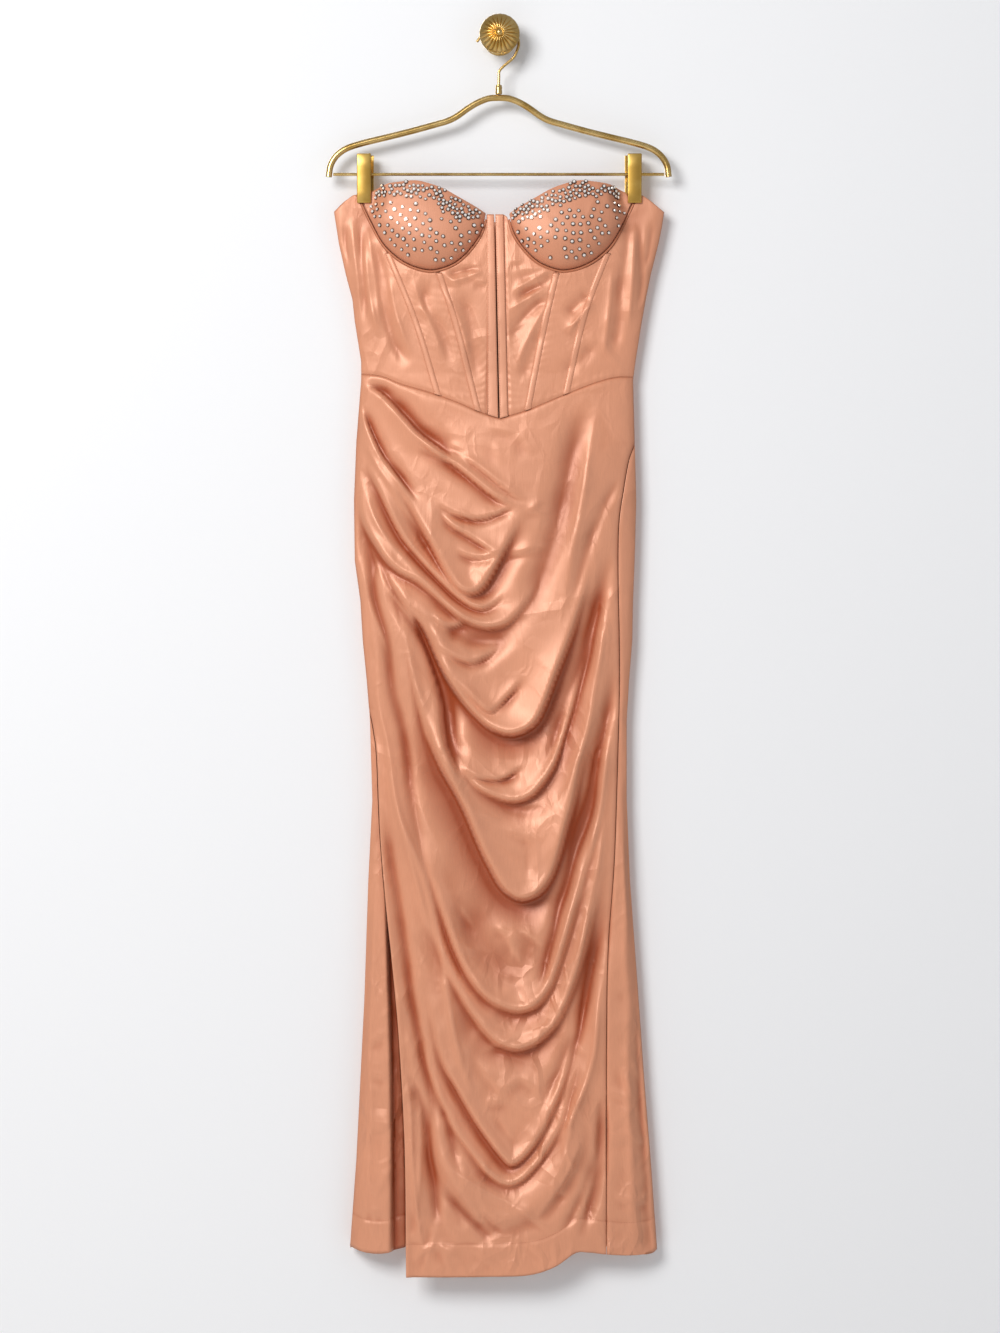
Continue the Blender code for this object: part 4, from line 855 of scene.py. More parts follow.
def make_satin(name, base, hollow, roughness=0.42, crumpling=1.0):
    material, tree, shader = new_material(
        name,
        Metallic=SATIN_MIRROR,
        Sheen_Weight=0.2,
        Sheen_Roughness=0.4,
        Sheen_Tint=colour("#FFD9C2"),
        Anisotropic=0.4,
        Specular_IOR_Level=1.0,
        Specular_Tint=colour("#FFEADC"),
    )
    cut = add_node(tree, "ShaderNodeUVMap", uv_map="cut").outputs[0]

    def placed_on_cut(inputs):
        made = add_node(tree, "ShaderNodeMapping", {"Vector": inputs.pop("Vector", cut)})
        for key, value in inputs.items():
            made.inputs[key].default_value = value
        return made.outputs[0]

    def grain(width_mm, length_mm, detail):
        place = placed_on_cut({"Scale": (1 / (width_mm * MM), 1 / (length_mm * MM), 1)})
        settings = {"Vector": place, "Scale": 1.0, "Detail": detail}
        return add_node(tree, "ShaderNodeTexNoise", settings, noise_dimensions="2D").outputs[0]

    def creasing(cell_mm, slope, patch_mm, seed):
        """A broken net of sharp little creases, in patches: heights in metres."""
        cell = cell_mm * MM
        shift = placed_on_cut({"Location": (seed, seed * 0.7, 0)})
        bend = add_node(tree, "ShaderNodeTexNoise", {"Vector": shift, "Scale": 0.6 / cell})
        bent = {0: bend.outputs[1], 1: (cell * 1.1, cell * 1.1, 0), 2: shift}
        bent = add_node(tree, "ShaderNodeVectorMath", bent, operation="MULTIPLY_ADD").outputs[0]
        stretched = {"Vector": bent, "Rotation": (0, 0, seed), "Scale": (1 / cell, 0.55 / cell, 1)}
        cells = {"Vector": placed_on_cut(stretched), "Scale": 1.0}
        net = {"feature": "DISTANCE_TO_EDGE", "voronoi_dimensions": "2D"}
        cells = add_node(tree, "ShaderNodeTexVoronoi", cells, **net).outputs[0]
        patches = add_node(tree, "ShaderNodeTexNoise", {"Vector": shift, "Scale": 1 / (patch_mm * MM)})
        ridge = mapped(tree, cells, 1.0, 0.0, 0.0, CREASE_SHARE)
        tallest = slope * CREASE_SHARE * cell
        return combined(tree, ridge, mapped(tree, patches.outputs[0], 0.0, tallest, 0.46, 0.64))

    clouds = grain(CLOUD_MM, CLOUD_MM, 2.0)
    threads = grain(THREAD_MM, FLOAT_MM, 1.0)
    large = creasing(CRUMPLE_MM, 0.25, 110, 3.1)
    small = creasing(CRUMPLE_MM * 0.45, 0.12, 60, 7.7)
    crushed = add_node(tree, "ShaderNodeAttribute", attribute_name="crumple")
    crumples = combined(tree, combined(tree, large, small, "ADD"), crushed.outputs["Fac"])

    # Painted shade: the hollow attribute darkens the base colour towards the shade colour in the folds.
    depth = add_node(tree, "ShaderNodeAttribute", attribute_name="hollow")
    painted_shade_mix = add_node(tree, "ShaderNodeMix", {"Factor": depth.outputs["Fac"]}, data_type="RGBA")
    painted_shade_mix.inputs[6].default_value = colour(base)
    painted_shade_mix.inputs[7].default_value = colour(hollow)
    cloudy = mapped(tree, clouds, 0.97, 1.04, 0.35, 0.65)
    value = combined(tree, cloudy, mapped(tree, threads, 0.975, 1.02, 0.3, 0.7))
    clouded = add_node(tree, "ShaderNodeHueSaturation", {"Color": painted_shade_mix.outputs[2], "Value": value})

    coarse = add_node(tree, "ShaderNodeBump", {"Height": crumples, "Distance": crumpling})
    woven = {"Height": threads, "Distance": 0.00008, "Normal": coarse.outputs[0]}
    wire(
        tree,
        shader,
        Base_Color=clouded.outputs[0],
        Roughness=mapped(tree, threads, roughness - 0.04, roughness + 0.05),
        Normal=add_node(tree, "ShaderNodeBump", woven).outputs[0],
    )
    return material


satin = make_satin("duchess_satin", SATIN, SATIN_PAINTED_SHADE)
# The same satin over the cups, its base colour painted darker: painted shade on the cups.
cup_satin = make_satin("duchess_satin_on_cups", "#D5906F", "#B9683F", 0.5, 0.7)
# The same satin on the raised channels and busk strips, painted a little lighter: painted light on the
# raised strips.
channel_satin = make_satin("duchess_satin_on_channels", "#E29D7C", "#B9683F", 0.42, 0.3)
# The binding's base colour is painted darker: painted shade at the foot of the cups.
binding_satin_painted_shade = make_satin("satin_binding", "#B9714E", "#8A4526", 0.5, 0.2)
print("satin materials:", satin.name, cup_satin.name, channel_satin.name, binding_satin_painted_shade.name)

# %% [markdown]
# ## Panels
#
# A panel is a grid of places between four drawn edges: a Coons patch. The sum of the two ways to fill
# between opposite edges, less the corners counted twice, follows all four at once. Then `cloth` lifts
# each place by its out, and a Solidify modifier gives the sheet its thickness. Beside a sewn edge the
# cloth dips into the seam, and the thread draws it into small puckers.

# %% From edges to a grid of places
CLOTH_WALL = 1.2
SEAM_DIP = 1.3
SEAM_REACH = 2.6
PUCKER = 0.35
PUCKER_MM = 11
PUCKER_REACH = 9
# How far round a place the painted shade looks, and how deep a place must lie for the full painted shade.
PAINTED_SHADE_REACH = 6
PAINTED_SHADE_DEPTH = 21.0
PAINTED_SHADE_NEAR = 4.5


def patch(top, foot, left, right):
    """Fills the space between four edges. Each edge is an array of (across, drop)."""
    v = np.linspace(0, 1, len(left))[:, None, None]
    run = run_along(top)
    u = (run / run[-1])[None, :, None]
    rows = (1 - v) * top[None] + v * foot[None]
    columns = (1 - u) * left[:, None] + u * right[:, None]
    corners = (1 - v) * ((1 - u) * top[0] + u * top[-1]) + v * ((1 - u) * foot[0] + u * foot[-1])
    return rows + columns - corners


def edge_distances(places, edge):
    """How far each place lies from one edge of its panel, and how far along that edge, in mm."""
    if edge in ("left", "right"):
        base = places[:, :1] if edge == "left" else places[:, -1:]
        run = run_along(base[:, 0])[:, None]
    else:
        base = places[:1] if edge == "top" else places[-1:]
        run = run_along(base[0])[None, :]
    return np.linalg.norm(places - base, axis=2), np.broadcast_to(run, places.shape[:2])


def beside_edge(places, edge, height, reach):
    """A rise beside one edge of a panel, or a dip if the height is below 0."""
    away, _ = edge_distances(places, edge)
    return height * np.exp(-((away / reach) ** 2))


def seam_relief(places, seams):
    """The dip into each sewn edge and the puckers beside it."""
    relief = np.zeros(places.shape[:2])
    for edge in seams.split():
        away, run = edge_distances(places, edge)
        relief -= SEAM_DIP * np.exp(-((away / SEAM_REACH) ** 2))
        wave = np.sin(2 * math.pi * run / PUCKER_MM + 3 * smooth_noise(run, away * 0, 31))
        strength = 0.6 + 0.5 * smooth_noise(run, away * 0 + 5, 47)
        relief += PUCKER * strength * wave * np.exp(-away / PUCKER_REACH) * smoothstep(away / 2)
    return relief


print("a seam dips", SEAM_DIP, "mm and puckers every", PUCKER_MM, "mm")


# %% From a grid to a sheet of cloth
PIECES = {}
CUT_GRIDS = {}


def with_column(places, out, side, depth):
    """Adds a column at one side of a panel, at the same places but at another depth."""
    if side < 0:
        return np.concatenate([places[:, :1], places], axis=1), np.concatenate([depth, out], axis=1)
    return np.concatenate([places, places[:, -1:]], axis=1), np.concatenate([out, depth], axis=1)


def with_return(places, out, side):
    """Adds the narrow strip of the front that turns straight back to the side seam."""
    edge = out[:, :1] if side < 0 else out[:, -1:]
    return with_column(places, out, side, np.maximum(edge - SIDE_RETURN, SIDE_OUT + SEAM_GAP / 2))


def with_back_return(places, out, side):
    """Adds the narrow strip of the back that turns forward to the side seam."""
    return with_column(places, out, side, np.full((len(out), 1), SIDE_OUT - SEAM_GAP / 2))


def grid_object(name, points, material, cut=None, attributes=None, faces_back=False):
    """A grid of points in metres as a smooth sheet, with its cut map and its attributes."""
    rows, columns = points.shape[:2]
    mesh = bpy.data.meshes.new(name)
    index = np.arange(rows * columns).reshape(rows, columns)
    corners = [index[:-1, :-1], index[1:, :-1], index[1:, 1:], index[:-1, 1:]]
    faces = np.stack(corners[::-1] if faces_back else corners, axis=-1).reshape(-1, 4)
    mesh.from_pydata(points.reshape(-1, 3).tolist(), [], faces.tolist())
    if cut is not None:
        layer = mesh.uv_layers.new(name="cut")
        flat = cut.reshape(-1, 2)
        loops = np.empty(len(mesh.loops), int)
        mesh.loops.foreach_get("vertex_index", loops)
        layer.data.foreach_set("uv", flat[loops].astype(np.float32).ravel())
    for key, values in (attributes or {}).items():
        attribute = mesh.attributes.new(key, "FLOAT", "POINT")
        attribute.data.foreach_set("value", np.asarray(values, np.float32).ravel())
    mesh.materials.append(material)
    mesh.shade_smooth()
    mesh.update()
    return placed(name, mesh)


def thickened(made, wall):
    """Gives a sheet its wall, half of it on each side."""
    solidify = made.modifiers.new("wall", "SOLIDIFY")
    solidify.thickness = wall * MM
    solidify.offset = 0


def bevelled(made, name, width, degrees):
    bevel = made.modifiers.new(name, "BEVEL")
    bevel.width = width * MM
    bevel.segments = 2
    bevel.limit_method = "ANGLE"
    bevel.angle_limit = math.radians(degrees)


def cloth(name, places, out, material, hollow=0.0, wall=CLOTH_WALL, faces_back=False):
    """A sheet of cloth over a grid of (across, drop) places, given its thickness."""
    points = in_metres(*split(places), out)
    cut = np.stack([places[..., 0], -places[..., 1]], axis=-1) * MM
    # hollow is painted shade in the base colour; crumple says how creased the satin is.
    shade = {"hollow": np.broadcast_to(hollow, out.shape), "crumple": crushing(*split(places))}
    made = grid_object(name + "_cloth", points, material, cut, shade, faces_back)
    thickened(made, wall)
    PIECES[name] = made
    CUT_GRIDS[name] = points
    return made


def blurred(values, reach):
    """Each value's average with its neighbours in the grid, up to reach rows and columns away."""
    kernel = np.hanning(2 * reach + 3)[1:-1]
    kernel /= kernel.sum()
    for axis in (0, 1):
        padding = [(reach, reach) if k == axis else (0, 0) for k in (0, 1)]
        values = np.pad(values, padding, mode="edge")
        values = np.apply_along_axis(np.convolve, axis, values, kernel, "valid")
    return values


def painted_fold_shade(places, out):
    """Painted shade: 0 on the open cloth and 1 in the deepest folds, by depth and by how high the cloth
    near it stands.
    """
    sunk = arch(*split(places)) - out
    below_near = blurred(out, PAINTED_SHADE_REACH) - out
    return np.clip(sunk / PAINTED_SHADE_DEPTH + below_near / PAINTED_SHADE_NEAR, 0, 1)


def front_cloth(name, places, out, returns=()):
    """A front panel with painted shade by how deep each place lies, and a strip that turns back at some
    sides.
    """
    hollow = painted_fold_shade(places, out)
    for side in returns:
        _, hollow = with_column(places, hollow, side, hollow[:, :1] if side < 0 else hollow[:, -1:])
        places, out = with_return(places, out, side)
    return cloth(name, places, out, satin, hollow)


print("the cloth's wall is", CLOTH_WALL, "mm")

# %% [markdown]
# ## The bodice
#
# The corset bodice is cut in narrow panels between the bust cups and the pointed waist: on each side a
# centre front, a middle front and a side front. Boning channels cover the seams between them. The centre
# front closes edge to edge over a busk, so a dark slot runs down the middle between two flat strips.

# %% The bodice's lines
CUP_RIM = [
    (169, 211), (157, 236), (143, 262), (125, 280), (106, 291), (87, 296), (73, 295), (53, 287), (36, 272),
    (21, 250), (14.5, 227),
]
CUP_TOP = [
    (161, 195), (141, 186.5), (121, 183.5), (101, 182.5), (83, 187), (67, 193), (49, 203), (31, 213),
    (16, 222),
]
RIM_PARTS = 170
OUTER_BONE_PART = 50
INNER_BONE_PART = 100
CUP_RIM_INSET = 2.0
PANEL_RIM_INSET = 3.0
BINDING_INSET = 1.5
BODICE_ROWS = 110
BODICE_GRID = 1.9

Bone = namedtuple("Bone", "side name part middle foot")
BONES = [
    Bone(-1, "inner", INNER_BONE_PART, (-54, 366), -27),
    Bone(-1, "outer", OUTER_BONE_PART, (-105, 360), -77),
    Bone(1, "inner", INNER_BONE_PART, (53, 378), 35),
    Bone(1, "outer", OUTER_BONE_PART, (106, 352), 83),
]
Strip = namedtuple("Strip", "name side top_left top_right foot_left foot_right")
PLACKETS = [
    Strip("placket_left", -1, -15.5, -6.8, -15.0, -1.4),
    Strip("placket_right", 1, -5.2, 5.0, 0.2, 10.6),
]
GORE_DROP = 226
PLACKET_LIFT = 0.35


def rim_points(side, inset=0.0):
    """The cup's lower rim, from its outer end to the gore, moved away from the cup by inset."""
    points = along(CUP_RIM, np.linspace(0, 1, RIM_PARTS + 1))
    slope = np.gradient(points, axis=0)
    normal = np.stack([-slope[:, 1], slope[:, 0]], axis=1)
    normal /= np.linalg.norm(normal, axis=1)[:, None]
    centre = np.array([87, 235])
    normal *= np.sign(((points - centre) * normal).sum(1))[:, None]
    points = points + inset * normal
    return np.stack([DRESS_CENTRE + side * points[:, 0], points[:, 1]], axis=1)


def bone_seam(bone):
    """The seam under one boning channel, from the cup's rim to the waist."""
    start = rim_points(bone.side, PANEL_RIM_INSET)[bone.part]
    foot = (bone.foot, float(waist_drop(bone.foot)))
    return along([tuple(start), bone.middle, foot], np.linspace(0, 1, BODICE_ROWS + 1))


def placket_edge(strip, which):
    top = getattr(strip, "top_" + which)
    foot = getattr(strip, "foot_" + which)
    line = [(top, GORE_DROP), (foot, float(waist_drop(foot)))]
    return spaced(line, np.linspace(0, 1, BODICE_ROWS + 1))


def waist_edge(start, end, fractions):
    """The waist seam between two places across, just above the skirt."""
    across = start + (end - start) * np.asarray(fractions)
    return np.stack([across, waist_drop(across) - SEAM_GAP / 2], axis=1)


def bodice_places(top, left, right, fractions=None):
    """One bodice panel between two seams, from its top edge down to the waist."""
    if fractions is None:
        fractions = np.linspace(0, 1, len(top))
    foot = waist_edge(left[-1, 0], right[-1, 0], fractions)
    left, right = left.copy(), right.copy()
    left[-1], right[-1] = foot[0], foot[-1]
    left[0], right[0] = top[0], top[-1]
    return patch(top, foot, left, right)


def columns_for(line):
    """How many columns a panel needs for its top edge."""
    return max(6, int(run_along(line)[-1] / BODICE_GRID))


print("boning seams:", [round(float(bone_seam(bone)[-1, 0])) for bone in BONES], "across at the waist")

# %% The front panels of the bodice
seams = {(bone.side, bone.name): bone_seam(bone) for bone in BONES}


def side_front(side):
    """From the side seam to the outer boning seam, with the clip's pinch in its top edge."""
    rim = rim_points(side, PANEL_RIM_INSET)[: OUTER_BONE_PART + 1]
    corner = (float(silhouette(SIDE_TOP_DROP, side)), SIDE_TOP_DROP)
    shoulder = (DRESS_CENTRE + side * 180, 200)
    start = tuple(rim[0] + np.array([side * 1.0, -3]))
    inner = seams[side, "outer"] + np.array([side * SEAM_GAP / 2, 0])
    top_line = np.vstack([along([corner, shoulder, start], np.linspace(0, 1, 12)), rim[2:]])
    top_line[-1] = inner[0]
    count = columns_for(top_line)
    steps = eased(count, True, False)
    top = spaced(top_line, steps)
    drops = np.linspace(SIDE_TOP_DROP, waist_at(side), BODICE_ROWS + 1)
    outline = outline_at(drops, side)
    if side < 0:
        places = bodice_places(top, outline, inner, steps)
    else:
        places = bodice_places(top[::-1], inner, outline, 1 - steps[::-1])
    relief = seam_relief(places, "bottom " + ("right" if side < 0 else "left"))
    return front_cloth("side_front_" + word_of(side), places, front_out(*split(places)) + relief, (side,))


def front_pair(strip):
    """The middle front and the centre front of one side."""
    side = strip.side
    word = word_of(side)
    rim = rim_points(side, PANEL_RIM_INSET)
    inner, outer = seams[side, "inner"], seams[side, "outer"]
    edge = placket_edge(strip, word)
    for name, line, ends in (
        ("middle_front_", rim[OUTER_BONE_PART : INNER_BONE_PART + 1], (outer, inner)),
        ("centre_front_", np.vstack([rim[INNER_BONE_PART:-1], edge[:1]]), (inner, edge)),
    ):
        top = spaced(line, np.linspace(0, 1, columns_for(line) + 1))
        if side > 0:
            top, ends = top[::-1], ends[::-1]
        places = bodice_places(top, *ends)
        places[:, 0, 0] += SEAM_GAP / 2
        places[:, -1, 0] -= SEAM_GAP / 2
        relief = seam_relief(places, "left right bottom")
        front_cloth(name + word, places, front_out(*split(places)) + relief)


def placket(strip):
    left, right = placket_edge(strip, "left"), placket_edge(strip, "right")
    share = np.linspace(0, 1, 9)[None, :, None]
    places = left[:, None] * (1 - share) + right[:, None] * share
    places[:, 0, 0] += SEAM_GAP / 2
    places[:, -1, 0] -= SEAM_GAP / 2
    places[-1, :, 1] = waist_drop(places[-1, :, 0]) - SEAM_GAP / 2
    crown = 0.5 * np.sin(math.pi * share[..., 0]) - 0.4
    out = front_out(*split(places)) + PLACKET_LIFT + crown
    # The strip carries the same painted shade in its folds as the panels.
    return cloth(strip.name, places, out, channel_satin, painted_fold_shade(places, out))


for strip in PLACKETS:
    side_front(strip.side)
    front_pair(strip)
    placket(strip)
print("bodice fronts:", list(PIECES))

# %% [markdown]
# ## Boning channels
#
# Flat plastic bones run in tapes sewn over the seams. From outside a channel is a low rounded strip, 8 mm
# wide, that stands up between two rows of stitches.

# %% The channels
CHANNEL_WIDTH = 8.0
CHANNEL_WALL = 0.6
CHANNEL_STITCH = 3.0
CHANNEL_LIFT = 0.75
CHANNEL_FURROW = 0.45
CHANNEL_START = 4
STRIP_COLUMNS = 9


def channel_places(bone):
    seam = seams[bone.side, bone.name]
    share = np.linspace(-0.5, 0.5, STRIP_COLUMNS)[None, :, None]
    places = seam[:, None] + share * np.array([CHANNEL_WIDTH, 0])
    places[0, :, 1] += CHANNEL_START
    places[-1, :, 1] = waist_drop(places[-1, :, 0]) - SEAM_GAP
    return places, share[..., 0]


def channel_out(places, share):
    """The bone lifts the tape's middle, and the stitches press its edges into the panels."""
    lift = (CLOTH_WALL + CHANNEL_WALL) / 2 - 0.35
    furrow = np.exp(-(((np.abs(share) * CHANNEL_WIDTH - CHANNEL_STITCH) / 0.7) ** 2))
    rise = CHANNEL_LIFT * smoothstep((0.46 - np.abs(share)) / 0.16)
    ends = smoothstep((waist_drop(places[..., 0]) - places[..., 1]) / 6)
    return front_out(*split(places)) + lift + rise * ends - CHANNEL_FURROW * furrow


for bone in BONES:
    places, share = channel_places(bone)
    out = channel_out(places, share)
    name = f"boning_{bone.name}_{word_of(bone.side)}"
    # Painted shade that darkens each tape towards its stitched edges.
    cloth(name, places, out, channel_satin, 0.25 * np.abs(share * 2) ** 3, CHANNEL_WALL)
print("channels:", list(PIECES)[-4:])

# %% [markdown]
# ## The cups
#
# Each cup is moulded foam under satin. It swells from its bound lower rim, and its free top edge stands
# away from the dress, because nobody fills it. Its outer end is caught in the clip. The surface is drawn
# between rim and top edge, and swells by a sine rule, fuller below than above, as a moulded cup does.

# %% Cup surfaces
CUP_WALL = 3.0
CUP_ROWS = 40
CUP_COLUMNS = 84
CUP_TOP_STAND = 20.0
CUP_TOP_LOWER = 3.5
CUP_BULGE = 17.0
CUP_PINCH_OUT = 25.0
CUP_PINCH_FLAT = 12
CUP_PINCH_REACH = 34


def cup_surface(side, rows=CUP_ROWS, columns=CUP_COLUMNS):
    """Places and depths of a cup, from its free top edge down to its lower rim."""
    steps = np.linspace(0, 1, columns + 1)
    rim = spaced(rim_points(side, -CUP_RIM_INSET), steps)
    top = along(CUP_TOP, steps)
    top = np.stack([DRESS_CENTRE + side * top[:, 0], top[:, 1] + CUP_TOP_LOWER], axis=1)
    height = np.linspace(1, 0, rows + 1)[:, None]
    width = steps[None, :]
    places = top[None] * height[..., None] + rim[None] * (1 - height[..., None])
    rim_out = arch(*split(rim))[None, :]
    top_out = arch(*split(top))[None, :]
    swell = np.sin(math.pi * width) ** 0.7
    bulge = CUP_BULGE * swell * np.sin(math.pi * height**0.62)
    out = rim_out * (1 - height) + (top_out + CUP_TOP_STAND * swell) * height + bulge
    out = pinched(out, *split(places), CUP_PINCH_OUT, CUP_PINCH_FLAT, CUP_PINCH_REACH)
    if side > 0:
        places, out = places[:, ::-1], out[:, ::-1]
    return places, out


def wrinkled(places, out, side):
    """Shallow drag lines in the satin over the foam, and its edge turned in along the top."""
    lines = 0.45 * smooth_noise(places[..., 0] * 0.5 + places[..., 1], places[..., 1] * 2.2, 26, 2.0 + side)
    rows = np.linspace(0, 1, len(out))[:, None]
    return out + lines * np.sin(math.pi * rows) - 0.8 * np.exp(-((rows / 0.03) ** 2))


CUPS = []
CUP_GRIDS = {}
for side in (-1, 1):
    places, out = cup_surface(side)
    out = wrinkled(places, out, side)
    CUP_GRIDS[side] = (places, out)
    CUPS.append(cloth("cup_" + word_of(side), places, out, cup_satin, wall=CUP_WALL))
    bevelled(CUPS[-1], "turned_edge", 0.9, 50)
print("cups:", [cup.name for cup in CUPS])

# %% [markdown]
# ## Binding under the cups
#
# A narrow bias binding covers the seam where each cup meets the bodice. It catches less light than the
# satin beside it, so its colour is painted darker: painted shade that makes it read as a darker line.


# %% A round bar along a line, as a mesh
WELD = 1e-6


def finished(bm, mesh, material, sharp_degrees):
    """Welds a mesh, turns its faces outwards and smooths it, but for the corners sharper than this."""
    bmesh.ops.remove_doubles(bm, verts=bm.verts, dist=WELD)
    bmesh.ops.recalc_face_normals(bm, faces=bm.faces)
    bm.to_mesh(mesh)
    bm.free()
    mesh.materials.clear()
    mesh.materials.append(material)
    mesh.shade_smooth()
    mesh.set_sharp_from_angle(angle=math.radians(sharp_degrees))
    return placed(mesh.name, mesh)


def swept(name, points, radius, material, sides):
    """A tube of this radius along points (across, drop, out), with closed ends."""
    points = np.array(points, float)
    curve = bpy.data.curves.new(name, "CURVE")
    curve.dimensions = "3D"
    curve.bevel_depth = radius * MM
    curve.bevel_resolution = max(1, sides // 2 - 1)
    curve.use_fill_caps = True
    spline = curve.splines.new("POLY")
    spline.points.add(len(points) - 1)
    for point, place in zip(spline.points, points):
        point.co = (*in_metres(*place), 1)
    drawn = placed(name + "_line", curve)
    graph = bpy.context.evaluated_depsgraph_get()
    mesh = bpy.data.meshes.new_from_object(drawn.evaluated_get(graph))
    bpy.data.objects.remove(drawn)
    bpy.data.curves.remove(curve)
    mesh.name = name
    bm = bmesh.new()
    bm.from_mesh(mesh)
    return finished(bm, mesh, material, 50)


BINDING_RADIUS = 1.35
for side in (-1, 1):
    line = rim_points(side, BINDING_INSET)[:-3:2]
    depth = arch(*split(line)) + 1.2
    depth = pinched(depth, *split(line), PINCH_FRONT_OUT)
    points = np.column_stack([line, depth])
    name = "cup_binding_" + word_of(side)
    PIECES[name] = swept(name + "_bias", points, BINDING_RADIUS, binding_satin_painted_shade, 10)
print("bindings:", list(PIECES)[-2:])

# %% [markdown]
# ## Growing small things with Geometry Nodes
#
# Stones and stitches repeat hundreds of times, each set by a rule on a surface or along a line. That is
# what Geometry Nodes are for. A tree is built once, with named inputs, and run on a scaffold: a bare
# surface for stones, bare lines for stitches. The result is kept as a plain mesh and the scaffold goes.


# %% Building and running a tree
SOCKET_KINDS = {float: "Float", int: "Int", type(None): "Material"}


def new_tree(name, inputs):
    """A tree that takes a scaffold and these inputs, whose kind their first value tells."""
    tree = bpy.data.node_groups.new(name, "GeometryNodeTree")
    tree.interface.new_socket("Geometry", in_out="INPUT", socket_type="NodeSocketGeometry")
    for label, value in inputs.items():
        kind = "NodeSocket" + SOCKET_KINDS[type(value)]
        socket = tree.interface.new_socket(label, in_out="INPUT", socket_type=kind)
        if value is not None:
            socket.default_value = value
    tree.interface.new_socket("Geometry", in_out="OUTPUT", socket_type="NodeSocketGeometry")
    start = tree.nodes.new("NodeGroupInput")
    end = tree.nodes.new("NodeGroupOutput")
    return tree, start.outputs, end.inputs


def grown(name, scaffold, tree, values):
    """Runs a tree on a scaffold object and keeps what grows there as a plain mesh."""
    modifier = scaffold.modifiers.new("grow", "NODES")
    modifier.node_group = tree
    for item in tree.interface.items_tree:
        if item.in_out == "INPUT" and item.name in values:
            modifier[item.identifier] = values[item.name]
    graph = bpy.context.evaluated_depsgraph_get()
    mesh = bpy.data.meshes.new_from_object(scaffold.evaluated_get(graph))
    mesh.name = name
    scaffold.modifiers.remove(modifier)
    bpy.data.objects.remove(scaffold)
    return placed(name, mesh)


def set_out(tree, result, points, instance, rotation, scale, material):
    """The end of a tree: one instance on each point, made real and given its material."""
    inputs = {"Points": points, "Instance": instance, "Rotation": rotation, "Scale": scale}
    instances = add_node(tree, "GeometryNodeInstanceOnPoints", inputs)
    real = add_node(tree, "GeometryNodeRealizeInstances", {"Geometry": instances.outputs[0]})
    inputs = {"Geometry": real.outputs[0], "Material": material}
    finish = add_node(tree, "GeometryNodeSetMaterial", inputs)
    tree.links.new(finish.outputs[0], result[0])
    print("the tree", tree.name, "has", len(tree.nodes), "nodes")


print("trees can be grown")

# %% [markdown]
# ## Crystals
#
# Foil-backed glass crystals in small metal settings are set thickly along each cup's top edge and towards
# its inner corner, and thin out towards the rim. The eye sees pale silver sparks, each with a dark edge,
# which the settings give: their dark brown is partly painted shade round each stone.
# One attribute, "sparkle", says how thickly they are set at each place, and the tree spreads points by
# it, none closer than the stones are wide. It runs once for the thick band along the top and once for the
# scattered stones below. The same seed places a setting under each stone.

# %% The tree for stones and settings
STONE_INPUTS = {"Spacing": 0.0052, "Density": 160000.0, "Smallest": 0.0021, "Largest": 0.0028}
STONE_INPUTS |= {"Lift": 0.0, "Top Radius": 0.5, "Foot Radius": 1.0, "Height": 0.6}
STONE_INPUTS |= {"Sides": 8, "Seed": 3, "Material": None}

stone_tree, given, result = new_tree("stones_on_a_cup", STONE_INPUTS)
node = partial(add_node, stone_tree)
sparkle = node("GeometryNodeInputNamedAttribute", {"Name": "sparkle"}, data_type="FLOAT")
inputs = {"Mesh": given["Geometry"], "Distance Min": given["Spacing"], "Seed": given["Seed"]}
inputs |= {"Density Max": given["Density"], "Density Factor": sparkle.outputs["Attribute"]}
spread = node("GeometryNodeDistributePointsOnFaces", inputs, distribute_method="POISSON")
inputs = {0: spread.outputs["Normal"], "Scale": given["Lift"]}
lift = node("ShaderNodeVectorMath", inputs, operation="SCALE")
inputs = {"Geometry": spread.outputs["Points"], "Offset": lift.outputs[0]}
lifted = node("GeometryNodeSetPosition", inputs)

spin = node("FunctionNodeRandomValue", {"Seed": given["Seed"], 3: 2 * math.pi}, data_type="FLOAT")
axis_turn = node("FunctionNodeAxisAngleToRotation", {"Angle": spin.outputs[1]})
inputs = {"Rotation": spread.outputs["Rotation"], "Rotate By": axis_turn.outputs[0]}
turned = node("FunctionNodeRotateRotation", inputs, rotation_space="LOCAL")
inputs = {"Seed": given["Seed"], 2: given["Smallest"], 3: given["Largest"]}
size = node("FunctionNodeRandomValue", inputs, data_type="FLOAT")

inputs = {"Vertices": given["Sides"], "Depth": given["Height"]}
inputs |= {"Radius Top": given["Top Radius"], "Radius Bottom": given["Foot Radius"]}
stone = node("GeometryNodeMeshCone", inputs)
inputs = {"Geometry": stone.outputs["Mesh"], "Shade Smooth": False}
faceted = node("GeometryNodeSetShadeSmooth", inputs)
stones = (lifted.outputs[0], faceted.outputs[0], turned.outputs[0], size.outputs[1])
set_out(stone_tree, result, *stones, given["Material"])

# %% Crystal and setting
# Foil-backed glass: nearly a mirror seen through glass, cut in flat facets, so each facet is bright or dark
crystal, _, _ = new_material("foiled_crystal", Metallic=0.2, Roughness=0.2, Coat_Weight=0.8)
# Rhodium-plated brass cups, dulled, that hold each stone and give it its dark edge, whose dark brown is
# partly painted shade
setting, _, _ = new_material("plated_setting", Metallic=1.0, Roughness=0.32)
for material, low, high in ((crystal, "#E6DCD6", "#FFFDFA"), (setting, "#5E4B43", "#958277")):
    tree = material.node_tree
    tones = two_tones(tree, object_noise(tree, 420.0), low, high, 0.38)
    wire(tree, tree.nodes["Principled BSDF"], Base_Color=tones)
print("stone materials:", crystal.name, setting.name)

